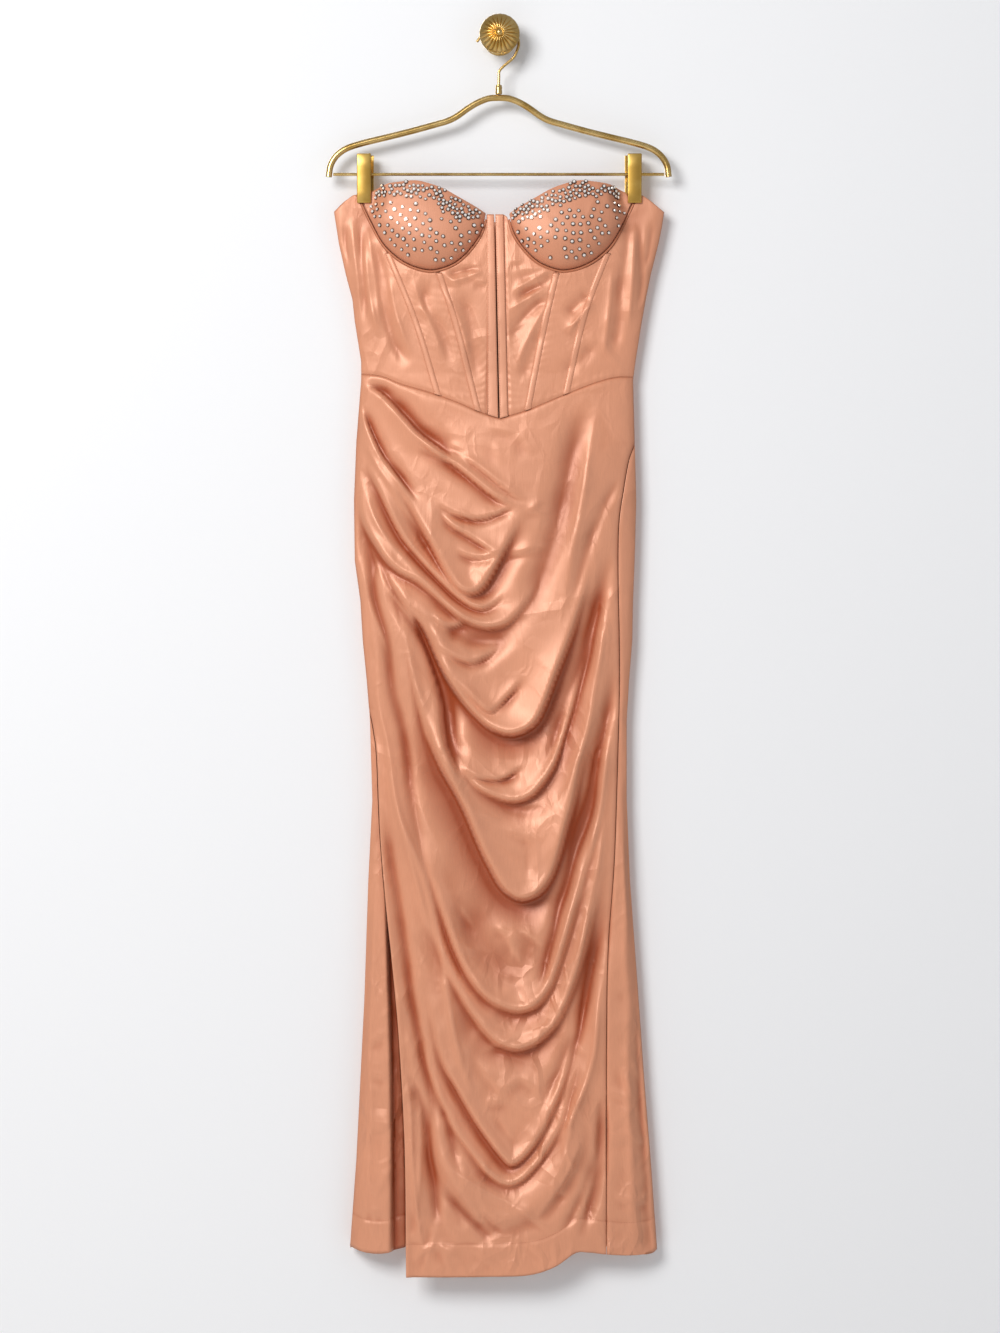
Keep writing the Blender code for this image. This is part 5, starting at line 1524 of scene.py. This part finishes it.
# %% Setting the stones
TRIMMINGS = {}
SPACINGS = {"band": 0.0047, "scatter": 0.0088}
SEEDS = {-1: 5, 1: 8}
FORM = ("Lift", "Top Radius", "Foot Radius", "Height", "Sides")
STONE_PARTS = {
    "settings": (setting, dict(zip(FORM, (0.0013, 0.98, 1.1, 0.6, 10)))),
    "crystals": (crystal, dict(zip(FORM, (0.002, 0.55, 0.88, 0.7, 8)))),
}


def sparkle_of(side, shape, zone):
    """Where the stones are set, in shares of the cup: rows from top edge to rim, columns inwards."""
    rows = np.linspace(0, 1, shape[0])[:, None]
    columns = np.linspace(0, 1, shape[1])[None, :]
    columns = 1 - columns if side > 0 else columns
    band = 0.26 + 0.10 * np.exp(-((columns / 0.25) ** 2)) + 0.24 * smoothstep((columns - 0.5) / 0.35)
    thick = smoothstep((band - rows) / 0.07)
    thin = smoothstep((rows - band - 0.02) / 0.03) * smoothstep((0.95 - rows) / 0.03)
    bare_ends = smoothstep((columns - 0.07) / 0.03) * smoothstep((0.975 - columns) / 0.02)
    bare_edge = smoothstep((rows - 0.015) / 0.02)
    return (thick if zone == "band" else 0.9 * thin) * bare_ends * bare_edge


for side, (places, out) in CUP_GRIDS.items():
    word = word_of(side)
    points = in_metres(*split(places), out)
    for kind, (material, shape) in STONE_PARTS.items():
        for zone, spacing in SPACINGS.items():
            sparkle = sparkle_of(side, out.shape, zone)
            bare = grid_object("bare_cup", points, material, None, {"sparkle": sparkle})
            values = {**shape, "Material": material, "Seed": SEEDS[side], "Spacing": spacing}
            grown_piece = grown(f"{kind}_{zone}_{word}", bare, stone_tree, values)
            TRIMMINGS[grown_piece.name] = ("cup_" + word, grown_piece)
            print(grown_piece.name, len(grown_piece.data.polygons), "faces")

# %% [markdown]
# ## The skirt
#
# The front of the skirt is one long drape, pleated into the hip on the image's left and swept across to
# the seam on the right. Below the knee its free left edge laps over a slit, with a narrow side panel
# beyond. On the right a side panel runs down past the seam. The hems are turned up 41 mm and stitched.

# %% The skirt's lines
DRAPE_ROWS = 372
DRAPE_COLUMNS = 112
RIGHT_PANEL_COLUMNS = 22
LEFT_PANEL_COLUMNS = 30
BODICE_BACK_GRID = (72, 64)
SKIRT_BACK_GRID = (300, 48)
DRAPE_FREE_EDGE = [
    (-162, 845), (-157, 872), (-153, 905), (-149, 1000), (-142, 1085), (-135, 1150), (-126, 1245),
    (-119.5, 1350), (-117, 1430), (-116, 1552),
]
RIGHT_SEAM = [
    (168.5, 512), (161, 533), (154, 572), (148.5, 612), (147.5, 675), (149.5, 790), (148, 880),
    (143, 1031), (135.5, 1140), (133, 1250), (132.6, 1524),
]
LEFT_PANEL_TOP = 849
GUTTER_EDGE = [(-150, 1000), (-144.5, 1100), (-142, 1185), (-139.5, 1270), (-138, 1400), (-138, 1530)]
GUTTER_TOP = 1040
GUTTER_DEPTH = 14
GUTTER_SLOPE = 6
SLIVER = 0.3
DRAPE_HEM = [(-116, 1552), (-24, 1551), (34, 1549), (68, 1539), (94, 1522), (110, 1521), (132.6, 1524)]
RIGHT_HEM = [(132.6, 1524), (163, 1526), (188, 1525), (197, 1520)]
LEFT_HEM = [(-187, 1517), (-172, 1522), (-154, 1524), (-137, 1522), (-118, 1517.5)]
BACK_HEM_DROP = 1520
BACK_SEAM = -2.0
BACK_TOP = [(-207, 221), (-190, 206), (-172, 198), (-150, 203), (-90, 224), (-2, 232)]
HEM_DEPTH = 41


def edge_with_seam(side, seam_top, line, rows):
    """Down the side seam at the outline, then along a drawn edge."""
    drops = np.linspace(waist_at(side), seam_top, 12)[:-1]
    seam = [(float(silhouette(drop, side)), drop) for drop in drops]
    edge = along(seam + line, np.linspace(0, 1, rows + 1))
    on_seam = edge[:, 1] < seam_top
    edge[on_seam, 0] = silhouette(edge[on_seam, 1], side)
    return edge


def clear_of_edge(edge, side):
    """How far a panel stays from a turned-back edge, more where the cloth runs round the side."""
    step = 1.0
    near = front_out(*split(edge))
    far = front_out(edge[:, 0] + side * step, edge[:, 1])
    slope = np.minimum(np.abs(far - near) / step, 1.5)
    return CLOTH_WALL / 2 + 0.6 + CLOTH_WALL / 2 * slope / np.sqrt(1 + slope**2)


def gutter(places):
    """How far the left panel sinks where it rolls under the drape's free edge."""
    across, drop = split(places)
    line = dense_line(GUTTER_EDGE)
    edge = np.interp(drop, line[:, 1], line[:, 0])
    reach = smoothstep((drop - GUTTER_TOP) / 120)
    return GUTTER_DEPTH * reach * smoothstep((across - edge) / GUTTER_SLOPE)


def hem_relief(places):
    """The doubled hem stands a little proud below a furrow where it is stitched."""
    above = places[-1:, :, 1] - places[..., 1]
    doubled = 0.7 * smoothstep((HEM_DEPTH + 1.5 - above) / 3)
    furrow = -0.8 * np.exp(-(((above - HEM_DEPTH) / 2.0) ** 2))
    turn = -0.9 * np.exp(-((above / 1.6) ** 2))
    return doubled + furrow + turn


HEM_LINES = []


def hem_line(places, out):
    """Where the hem's stitches run: across the panel, 41 mm above its foot."""
    line = []
    for column in range(places.shape[1]):
        drop = places[-1, column, 1] - HEM_DEPTH
        across = np.interp(drop, places[:, column, 1], places[:, column, 0])
        line.append((across, drop, np.interp(drop, places[:, column, 1], out[:, column])))
    return np.array(line)[1:-1]


print("hem turned up", HEM_DEPTH, "mm")

# %% The drape
left_edge = edge_with_seam(-1, DRAPE_FREE_EDGE[0][1], DRAPE_FREE_EDGE, DRAPE_ROWS)
right_edge = edge_with_seam(1, RIGHT_SEAM[0][1], RIGHT_SEAM, DRAPE_ROWS)
steps = eased(DRAPE_COLUMNS, True, True)
across = left_edge[0, 0] + (right_edge[0, 0] - left_edge[0, 0]) * steps
top = np.stack([across, waist_drop(across) + SEAM_GAP / 2], axis=1)
foot = along(DRAPE_HEM, steps)
left_edge[0], right_edge[0] = top[0], top[-1]
left_edge[-1], right_edge[-1] = foot[0], foot[-1]
places = patch(top, foot, left_edge, right_edge)
out = front_out(*split(places))
out += seam_relief(places, "top") + hem_relief(places)
on_panel = places[..., 1] > RIGHT_SEAM[0][1]
out += beside_edge(places, "right", -1.1, 2.4) * on_panel
lapped = smoothstep((places[..., 1] - LEFT_PANEL_TOP) / 60)
out += beside_edge(places, "left", 2.6, 6) * lapped
HEM_LINES.append(hem_line(places, out))
front_cloth("skirt_drape", places, out, (-1, 1))
print("the drape's grid:", places.shape[:2])

# %% The two side panels
below = right_edge[right_edge[:, 1] > RIGHT_SEAM[0][1] + 1]
seam = below + np.stack([clear_of_edge(below, 1), np.zeros(len(below))], axis=1)
outline = outline_at(below[:, 1], 1)
seam[:, 0] = np.minimum(seam[:, 0], outline[:, 0] - SLIVER)
outline[-1] = RIGHT_HEM[-1]
steps = eased(RIGHT_PANEL_COLUMNS, False, True)
top = seam[0] + (outline[0] - seam[0]) * steps[:, None]
foot = along([tuple(seam[-1]), *RIGHT_HEM[1:]], steps)
places = patch(top, foot, seam, outline)
out = front_out(*split(places)) + hem_relief(places)
out += beside_edge(places, "left", -1.0, 2.4)
HEM_LINES.append(hem_line(places, out))
front_cloth("skirt_side_right", places, out, (1,))

below = left_edge[(left_edge[:, 1] > LEFT_PANEL_TOP) & (left_edge[:, 1] < LEFT_HEM[-1][1])]
seam = below.copy()
seam[:, 0] -= clear_of_edge(below, -1)
outline = outline_at(below[:, 1], -1)
seam[:, 0] = np.maximum(seam[:, 0], outline[:, 0] + SLIVER)
outline[-1] = LEFT_HEM[0]
seam[-1] = LEFT_HEM[-1]
steps = eased(LEFT_PANEL_COLUMNS, True, False)
top = outline[0] + (seam[0] - outline[0]) * steps[:, None]
foot = along(LEFT_HEM, steps)
places = patch(top, foot, outline, seam)
out = front_out(*split(places)) + hem_relief(places)
out += beside_edge(places, "right", -1.8, 5)
out = np.maximum(out - gutter(places), LOWEST_FRONT)
HEM_LINES.append(hem_line(places, out))
front_cloth("skirt_side_left", places, out, (-1,))
print("side panels:", len(right_edge), "rows")

# %% [markdown]
# ## The back
#
# The photograph doesn't show the back. It is cut as such a dress usually is: two bodice panels and two
# skirt panels that meet in a centre back seam, hanging in longer, easier folds than the front.


# %% The back panels
def back_places(side, top_drop, foot_drop, grid, shaped_top):
    rows, columns = grid
    steps = eased(columns, side < 0, side > 0)
    drops = np.linspace(top_drop, foot_drop, rows + 1)
    outline = outline_at(drops, side)
    centre = np.stack([np.full_like(drops, BACK_SEAM + side * SEAM_GAP / 2), drops], axis=1)
    left, right = (outline, centre) if side < 0 else (centre, outline)
    top_edge = left[0] + (right[0] - left[0]) * steps[:, None]
    foot_edge = left[-1] + (right[-1] - left[-1]) * steps[:, None]
    if shaped_top:
        line = dense_line(BACK_TOP)
        top_edge[:, 1] = np.interp(-np.abs(top_edge[:, 0] - BACK_SEAM), line[:, 0], line[:, 1])
        for edge, start in ((left, top_edge[0, 1]), (right, top_edge[-1, 1])):
            edge[:, 1] = np.linspace(start, foot_drop, rows + 1)
        edge = left if side < 0 else right
        edge[:, 0] = silhouette(edge[:, 1], side)
    return patch(top_edge, foot_edge, left, right)


def back_panel(node, side, places, seams):
    out = back_out(*split(places))
    relief = seam_relief(places, seams)
    if node.startswith("skirt"):
        relief = relief + hem_relief(places)
        line = hem_line(places, out - relief)
        line[:, 2] -= CLOTH_WALL + 0.5
        HEM_LINES.append(line)
    out = np.clip(out - relief, 1.0, None)
    places, out = with_back_return(places, out, side)
    # An even painted shade over the whole back, a tenth of the way to the shade colour.
    cloth(node, places, out, satin, np.full(out.shape, 0.1), faces_back=True)


for side in (-1, 1):
    word = word_of(side)
    waist = waist_at(side)
    centre_edge = "right" if side < 0 else "left"
    places = back_places(side, SIDE_TOP_DROP, waist - SEAM_GAP / 2, BODICE_BACK_GRID, True)
    back_panel("bodice_back_" + word, side, places, "bottom " + centre_edge)
    places = back_places(side, waist + SEAM_GAP / 2, BACK_HEM_DROP, SKIRT_BACK_GRID, False)
    back_panel("skirt_back_" + word, side, places, "top " + centre_edge)
print("back panels are cut")

# %% [markdown]
# ## Topstitching
#
# Machine stitches hold the channels down on both sides, edge the busk strips and fix the hems. A stitch
# is a short thread that dives into the cloth at both ends: here a small drawn-out ball, laid along the
# line every 3 mm. Real ones are 2.5 mm apart and 0.25 mm thick; these are drawn a little coarser, so
# that a row of them still shows in a picture of the whole dress.

# %% The tree for stitches
STITCH_INPUTS = {"Pitch": 0.003, "Length": 0.0022, "Thickness": 0.0005, "Material": None}

stitch_tree, given, result = new_tree("stitches_along_a_line", STITCH_INPUTS)
node = partial(add_node, stitch_tree)
line = node("GeometryNodeMeshToCurve", {"Mesh": given["Geometry"]})
inputs = {"Curve": line.outputs[0], "Length": given["Pitch"]}
spaced_out = node("GeometryNodeResampleCurve", inputs, mode="LENGTH")
tangent = node("GeometryNodeInputTangent")
aligned = node("FunctionNodeAlignRotationToVector", {"Vector": tangent.outputs[0]}, axis="X")
bead = node("GeometryNodeMeshIcoSphere", {"Radius": 0.5, "Subdivisions": 1})
shape = node("ShaderNodeCombineXYZ", dict(zip("XYZ", (given["Length"], *[given["Thickness"]] * 2))))
stitches = (spaced_out.outputs[0], bead.outputs["Mesh"], aligned.outputs[0], shape.outputs[0])
set_out(stitch_tree, result, *stitches, given["Material"])

# %% Sewing
# Spun polyester thread, a shade darker than the satin and matt, so a row of stitches reads as a thin line
thread, tree, shader = new_material("spun_thread", Roughness=0.7, Base_Color=colour("#B5714F"))
ply = add_node(tree, "ShaderNodeBump", {"Height": object_noise(tree, 900.0), "Distance": 0.0001})
wire(tree, shader, Normal=ply.outputs[0])


def sewn(name, lines):
    """Stitches along several lines of points (across, drop, out)."""
    points, edges = [], []
    for line in lines:
        start = len(points)
        points += in_metres(line[:, 0], line[:, 1], line[:, 2]).tolist()
        edges += [(k, k + 1) for k in range(start, len(points) - 1)]
    mesh = bpy.data.meshes.new("stitch_lines")
    mesh.from_pydata(points, edges, [])
    return grown(name, placed("stitch_lines", mesh), stitch_tree, {"Material": thread})


lines = []
for bone in BONES:
    places, share = channel_places(bone)
    out = channel_out(places, share)
    for column in (1, STRIP_COLUMNS - 2):
        line = np.column_stack([places[:, column], out[:, column] + CHANNEL_WALL / 2])
        lines.append(line[1:-1])
for strip in PLACKETS:
    for which, shift in (("left", 1.3), ("right", -1.3)):
        edge = placket_edge(strip, which) + np.array([shift, 0])
        depth = front_out(*split(edge)) + PLACKET_LIFT + CLOTH_WALL / 2
        lines.append(np.column_stack([edge, depth])[2:-2])
TRIMMINGS["bodice_stitching"] = ("centre_front_left", sewn("bodice_stitching", lines))
hems = [line + np.array([0, 0, CLOTH_WALL / 2]) for line in HEM_LINES]
TRIMMINGS["hem_stitching"] = ("skirt_drape", sewn("hem_stitching", hems))
print("stitches:", [len(piece.data.polygons) // 20 for _, piece in list(TRIMMINGS.values())[-2:]])

# %% [markdown]
# ## Brushed brass
#
# Hanger, clips and wall hook are brass-plated steel with a brushed, lacquered finish: a warm yellow metal
# with soft highlights that stretch along the parts, slightly darker where fingers and age have dulled it.
# A metal's colour is the colour of its reflections, so it takes Metallic 1 and keeps the default IOR.

# %% The brass
BRUSH_MM = 0.35


def make_brass(name, light, dark, roughness, brush_scale):
    material, tree, shader = new_material(name, Metallic=1.0)
    here = add_node(tree, "ShaderNodeTexCoord").outputs["Object"]
    mapping = add_node(tree, "ShaderNodeMapping", {"Vector": here})
    mapping.inputs["Scale"].default_value = tuple(1 / (BRUSH_MM * MM * k) for k in brush_scale)
    inputs = {"Vector": mapping.outputs[0], "Scale": 1.0, "Detail": 2.0}
    brushed = add_node(tree, "ShaderNodeTexNoise", inputs).outputs[0]
    lines = add_node(tree, "ShaderNodeBump", {"Height": brushed, "Distance": 0.00003, "Strength": 0.2})
    wire(
        tree,
        shader,
        Base_Color=two_tones(tree, object_noise(tree, 45.0, 4.0), dark, light, 0.36),
        Roughness=mapped(tree, brushed, roughness - 0.06, roughness + 0.08),
        Normal=lines.outputs[0],
    )
    return material


brass = make_brass("brushed_brass", "#EBCB8A", "#C9A35A", 0.25, (12, 1, 1))
clip_brass = make_brass("satin_brass_clips", "#DDB867", "#C9A04E", 0.36, (1, 1, 14))
print("brass:", brass.name, clip_brass.name)

# %% [markdown]
# ## The hanger
#
# One tube is bent to the shoulders, and a thin bar between its ends carries the clips. A collar joins the
# tube to the hook, which is bent from wire and hangs in the groove of the wall hook's stem. Each is a
# round bar swept along a line.

# %% Tube, bar, collar and hook
HANGER_OUT = 24.0
TUBE_RADIUS = 4.0
TUBE_CENTRE = -1.0
BAR_RADIUS = 1.9
BAR_DROP = 174
COLLAR_RADIUS = 4.3
COLLAR_TOP = 62
COLLAR_FOOT = 73.5
HOOK_RADIUS = 1.75
HOOK_BEND_RADIUS = 24.0
HOOK_BEND_DROP = 10.0
TUBE_LINE = [
    (0, 78), (-13, 79), (-26, 84), (-38, 91), (-52, 101), (-64, 107), (-81, 112), (-110, 120), (-138, 127),
    (-167, 134), (-187, 140), (-198, 146), (-206, 154), (-211, 164), (-213, 177),
]
HOOK_SHANK = [(-1, 61.7), (-0.8, 52), (-0.4, 45), (4, 39.5), (11, 33.5), (18, 27), (23, 17)]
HOOK_TIP = [(-25.5, 4), (-28.5, 8)]

half = along(TUBE_LINE, np.linspace(0, 1, 81))
line = np.vstack([half[::-1], half[1:] * [-1, 1]])
tube = [(TUBE_CENTRE + x, d, HANGER_OUT) for x, d in line]
PIECES["hanger_tube"] = swept("hanger_tube_brass", tube, TUBE_RADIUS, brass, 20)

bar_half = -TUBE_LINE[-2][0] - TUBE_RADIUS + SEAM_GAP
bar = [(TUBE_CENTRE + k * bar_half, BAR_DROP, HANGER_OUT) for k in np.linspace(-1, 1, 41)]
PIECES["hanger_bar"] = swept("hanger_bar_brass", bar, BAR_RADIUS, brass, 14)


# %% Turned pieces
def turned_piece(name, profile, steps, centre=0.0, upright=False, fluted=None):
    """A profile, pairs of (radius, height), taken round an axis that stands out of the wall or upright."""
    profile = np.array(profile, float)
    turn = np.linspace(0, 2 * math.pi, steps, endpoint=False)
    radius = profile[:, :1] * np.ones_like(turn)
    height = profile[:, 1:2] * np.ones_like(turn)
    if fluted is not None:
        height = height + fluted(radius, turn[None, :])
    across, aside = centre + radius * np.cos(turn), radius * np.sin(turn)
    points = in_metres(across, height, HANGER_OUT + aside) if upright else in_metres(across, aside, height)
    bm = bmesh.new()
    rings = [[bm.verts.new(point) for point in ring] for ring in points]
    for upper, lower in zip(rings, rings[1:]):
        for k in range(steps):
            bm.faces.new((upper[k], lower[k], lower[(k + 1) % steps], upper[(k + 1) % steps]))
    for ring, radius_here in ((rings[0], profile[0, 0]), (rings[-1], profile[-1, 0])):
        if radius_here > 0.01:
            bm.faces.new(ring)
    return finished(bm, bpy.data.meshes.new(name), brass, 38)


# How much less than the collar's radius, and how far below its top
COLLAR_RINGS = [(1.2, 0), (0.3, 0.8), (0.3, 2.0), (0, 2.4), (0, 5.2), (0.5, 5.6), (0.5, 6.2), (0, 6.6)]
collar = [(COLLAR_RADIUS - less, COLLAR_TOP + below) for less, below in COLLAR_RINGS]
collar = [(0, COLLAR_TOP), *collar, (COLLAR_RADIUS, COLLAR_FOOT - 0.6), (COLLAR_RADIUS - 0.5, COLLAR_FOOT)]
collar.append((0, COLLAR_FOOT))
PIECES["hanger_collar"] = turned_piece("hanger_collar_brass", collar, 32, TUBE_CENTRE, upright=True)

shank = along(HOOK_SHANK, np.linspace(0, 1, 24))
bend = np.linspace(math.radians(-8), math.radians(152), 37)
arc = np.stack([HOOK_BEND_RADIUS * np.cos(bend), HOOK_BEND_DROP - HOOK_BEND_RADIUS * np.sin(bend)], axis=1)
wire = np.vstack([shank[:-1], arc, HOOK_TIP])
hook = [(x, d, HANGER_OUT) for x, d in wire]
PIECES["hanger_hook"] = swept("hanger_hook_brass", hook, HOOK_RADIUS, brass, 14)
print("hanger:", [key for key in PIECES if key.startswith("hanger")])

# %% [markdown]
# ## The clips
#
# Each clip is two pressed plates with their edges turned in, held on the bar by a spring barrel. The
# plate's corners are rounded by a Bevel, because a pressed edge is never sharp and the bright line along
# it is what says metal.

# %% Clip jaws
CLIP_TOP = 149.5
CLIP_FOOT = 210
CLIP_WALL = 1.4
Jaw = namedtuple("Jaw", "name width top_out foot_out flange shift")
JAWS = [Jaw("clip_front", 16.2, 33.6, 29.4, 2.4, 0.0), Jaw("clip_back", 17, 14.4, 19.6, 1.2, 2.6)]
CLIP_CENTRES = {-1: -169.6, 1: 169.1}


def make_jaw(jaw, side):
    centre = CLIP_CENTRES[side] - side * jaw.shift
    half = jaw.width / 2
    across = np.array([-half, -half, -half + 0.35, -half + 1.2, 0, half - 1.2, half - 0.35, half, half])
    turn_in = np.array([1.0, 0.35, 0.1, 0, 0, 0, 0.1, 0.35, 1.0]) * jaw.flange
    drops = [CLIP_TOP, CLIP_TOP + 0.3, CLIP_TOP + 1.2, 165, 180, 195, CLIP_FOOT - 1.6, CLIP_FOOT]
    drops = np.array(drops, float)
    fold_over = np.array([0.9, 0.3, 0, 0, 0, 0, 0, 0.25]) * jaw.flange
    share = (drops - CLIP_TOP) / (CLIP_FOOT - CLIP_TOP)
    plate = jaw.top_out + (jaw.foot_out - jaw.top_out) * share
    inward = 1 if jaw.top_out > HANGER_OUT else -1
    out = plate[:, None] - inward * np.maximum(turn_in[None, :], fold_over[:, None])
    places = np.stack(np.meshgrid(centre + across, drops), axis=2)
    node = f"{jaw.name}_{word_of(side)}"
    points = in_metres(*split(places), out)
    made = grid_object(node + "_brass", points, clip_brass, faces_back=inward < 0)
    thickened(made, CLIP_WALL)
    bevelled(made, "rolled_edge", 0.3, 40)
    return node, made


for side in (-1, 1):
    for jaw in JAWS:
        node, made = make_jaw(jaw, side)
        PIECES[node] = made
    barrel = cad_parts["clip_barrel_" + word_of(side)]
    barrel.data.materials.clear()
    barrel.data.materials.append(clip_brass)
print("clips:", [key for key in PIECES if key.startswith("clip")])

# %% [markdown]
# ## The wall hook
#
# A turned stem stands on a round plate, and a fluted knob like a small daisy closes it. Flutes are ribs
# at even angles, so the knob's height at any place is its dome less a rounded groove, which a rule on the
# angle gives.

# %% Plate, stem and knob
PLATE_RADIUS = 21
PLATE_DEPTH = 5
STEM_RADIUS = 13.0
STEM_GROOVE = 11.9
STEM_END = 33
KNOB_DEPTH = 15
KNOB_PLAIN_RINGS = 3
KNOB_FLUTES = 22
KNOB_FLUTE_DEPTH = 1.5
KNOB_BACK = STEM_END + SEAM_GAP

R = PLATE_RADIUS
plate = [(0, 0), (R, 0), (R, 3.4), (R - 0.5, 4.4), (R - 1.6, PLATE_DEPTH), (R - 4, PLATE_DEPTH)]
plate.append((0, PLATE_DEPTH))
PIECES["wall_plate"] = turned_piece("wall_plate_brass", plate, 64)

start = PLATE_DEPTH + SEAM_GAP
R = STEM_RADIUS
groove = [(R, -5), (R - 0.3, -4), (STEM_GROOVE, -2), (STEM_GROOVE, 2), (R - 0.3, 4), (R, 5)]
stem = [(0, start), (R, start), *[(radius, HANGER_OUT + away) for radius, away in groove]]
stem += [(R, STEM_END), (0, STEM_END)]
PIECES["wall_stem"] = turned_piece("wall_stem_brass", stem, 48)

# Radius, and height as a share of the knob's depth
KNOB_RINGS = [(0, 1.0), (1.6, 0.99), (3.2, 0.94), (4.3, 0.85), (4.7, 0.78), (5.2, 0.8), (6.2, 0.86)]
KNOB_RINGS += [(8, 0.87), (11, 0.85), (14, 0.79), (17, 0.7), (20, 0.58), (22.5, 0.45), (24.3, 0.32)]
KNOB_RINGS += [(25.2, 0.18), (25.2, 0.06), (24.6, 0.0), (0, 0.0)]


def knob_flutes(radius, turn):
    """Rounded grooves between the ribs, shallow beside the boss and full at the rim."""
    groove = np.abs(np.sin(turn * KNOB_FLUTES / 2)) ** 0.8
    flutes = -KNOB_FLUTE_DEPTH * (1 - groove) * smoothstep((radius - 5.0) / 4)
    flutes[-KNOB_PLAIN_RINGS:] = 0
    return flutes


knob = [(radius, KNOB_BACK + KNOB_DEPTH * rise) for radius, rise in KNOB_RINGS]
PIECES["wall_knob"] = turned_piece("wall_knob_brass", knob, KNOB_FLUTES * 10, fluted=knob_flutes)
print("wall hook:", [key for key in PIECES if key.startswith("wall")])

# %% [markdown]
# ## Fixing everything to the frame
#
# Every piece rides on the one body and stands for its CAD node, which is hidden. Each cloth's size as
# cut is measured along its grid, up and down through the folds, and printed.

# %% Attaching and measuring
SLOTS = {"cup_binding": "binding", "cup_": "cup_satin", "clip": "clip_brass", "hanger": "brass"}
SLOTS["wall"] = "brass"
SHEETS = ("side_front", "middle_front", "centre_front", "placket", "boning", "bodice_back", "skirt")
HELD = {"skirt_drape": "draped"}
NARROWEST_CUT = 0.010  # a channel's tape has its edges turned under


def slot_of(node):
    for start, slot in SLOTS.items():
        if node.startswith(start):
            return slot
    return "satin"


def cut_size(node, piece):
    """Width, length and area of a sheet's middle surface, measured along its own grid, in metres."""
    bm = bmesh.new()
    bm.from_mesh(piece.data)
    area = sum(face.calc_area() for face in bm.faces)
    bm.free()
    cut = CUT_GRIDS[node]
    rows = np.linalg.norm(np.diff(cut, axis=1)[..., :2], axis=2).sum(1)
    columns = np.linalg.norm(np.diff(cut, axis=0)[..., 1:], axis=2).sum(0)
    return float(rows.max()), float(columns.max()), float(area)


extra = {}
for name, (node, piece) in TRIMMINGS.items():
    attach(piece, "root")
    extra.setdefault(node, []).append(piece)
for node, piece in PIECES.items():
    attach(piece, "root")
    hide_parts(node)
    slot_of(node)
    if node.startswith(SHEETS):
        wide, long, area = cut_size(node, piece)
        wide = max(wide, NARROWEST_CUT)
        pieces = [item.name for item in extra.get(node, [])]
        HELD.get(node, "hung")
        print(f"{node}: cut {wide * 1000:.0f} by {long * 1000:.0f} mm, {area:.4f} square metres")
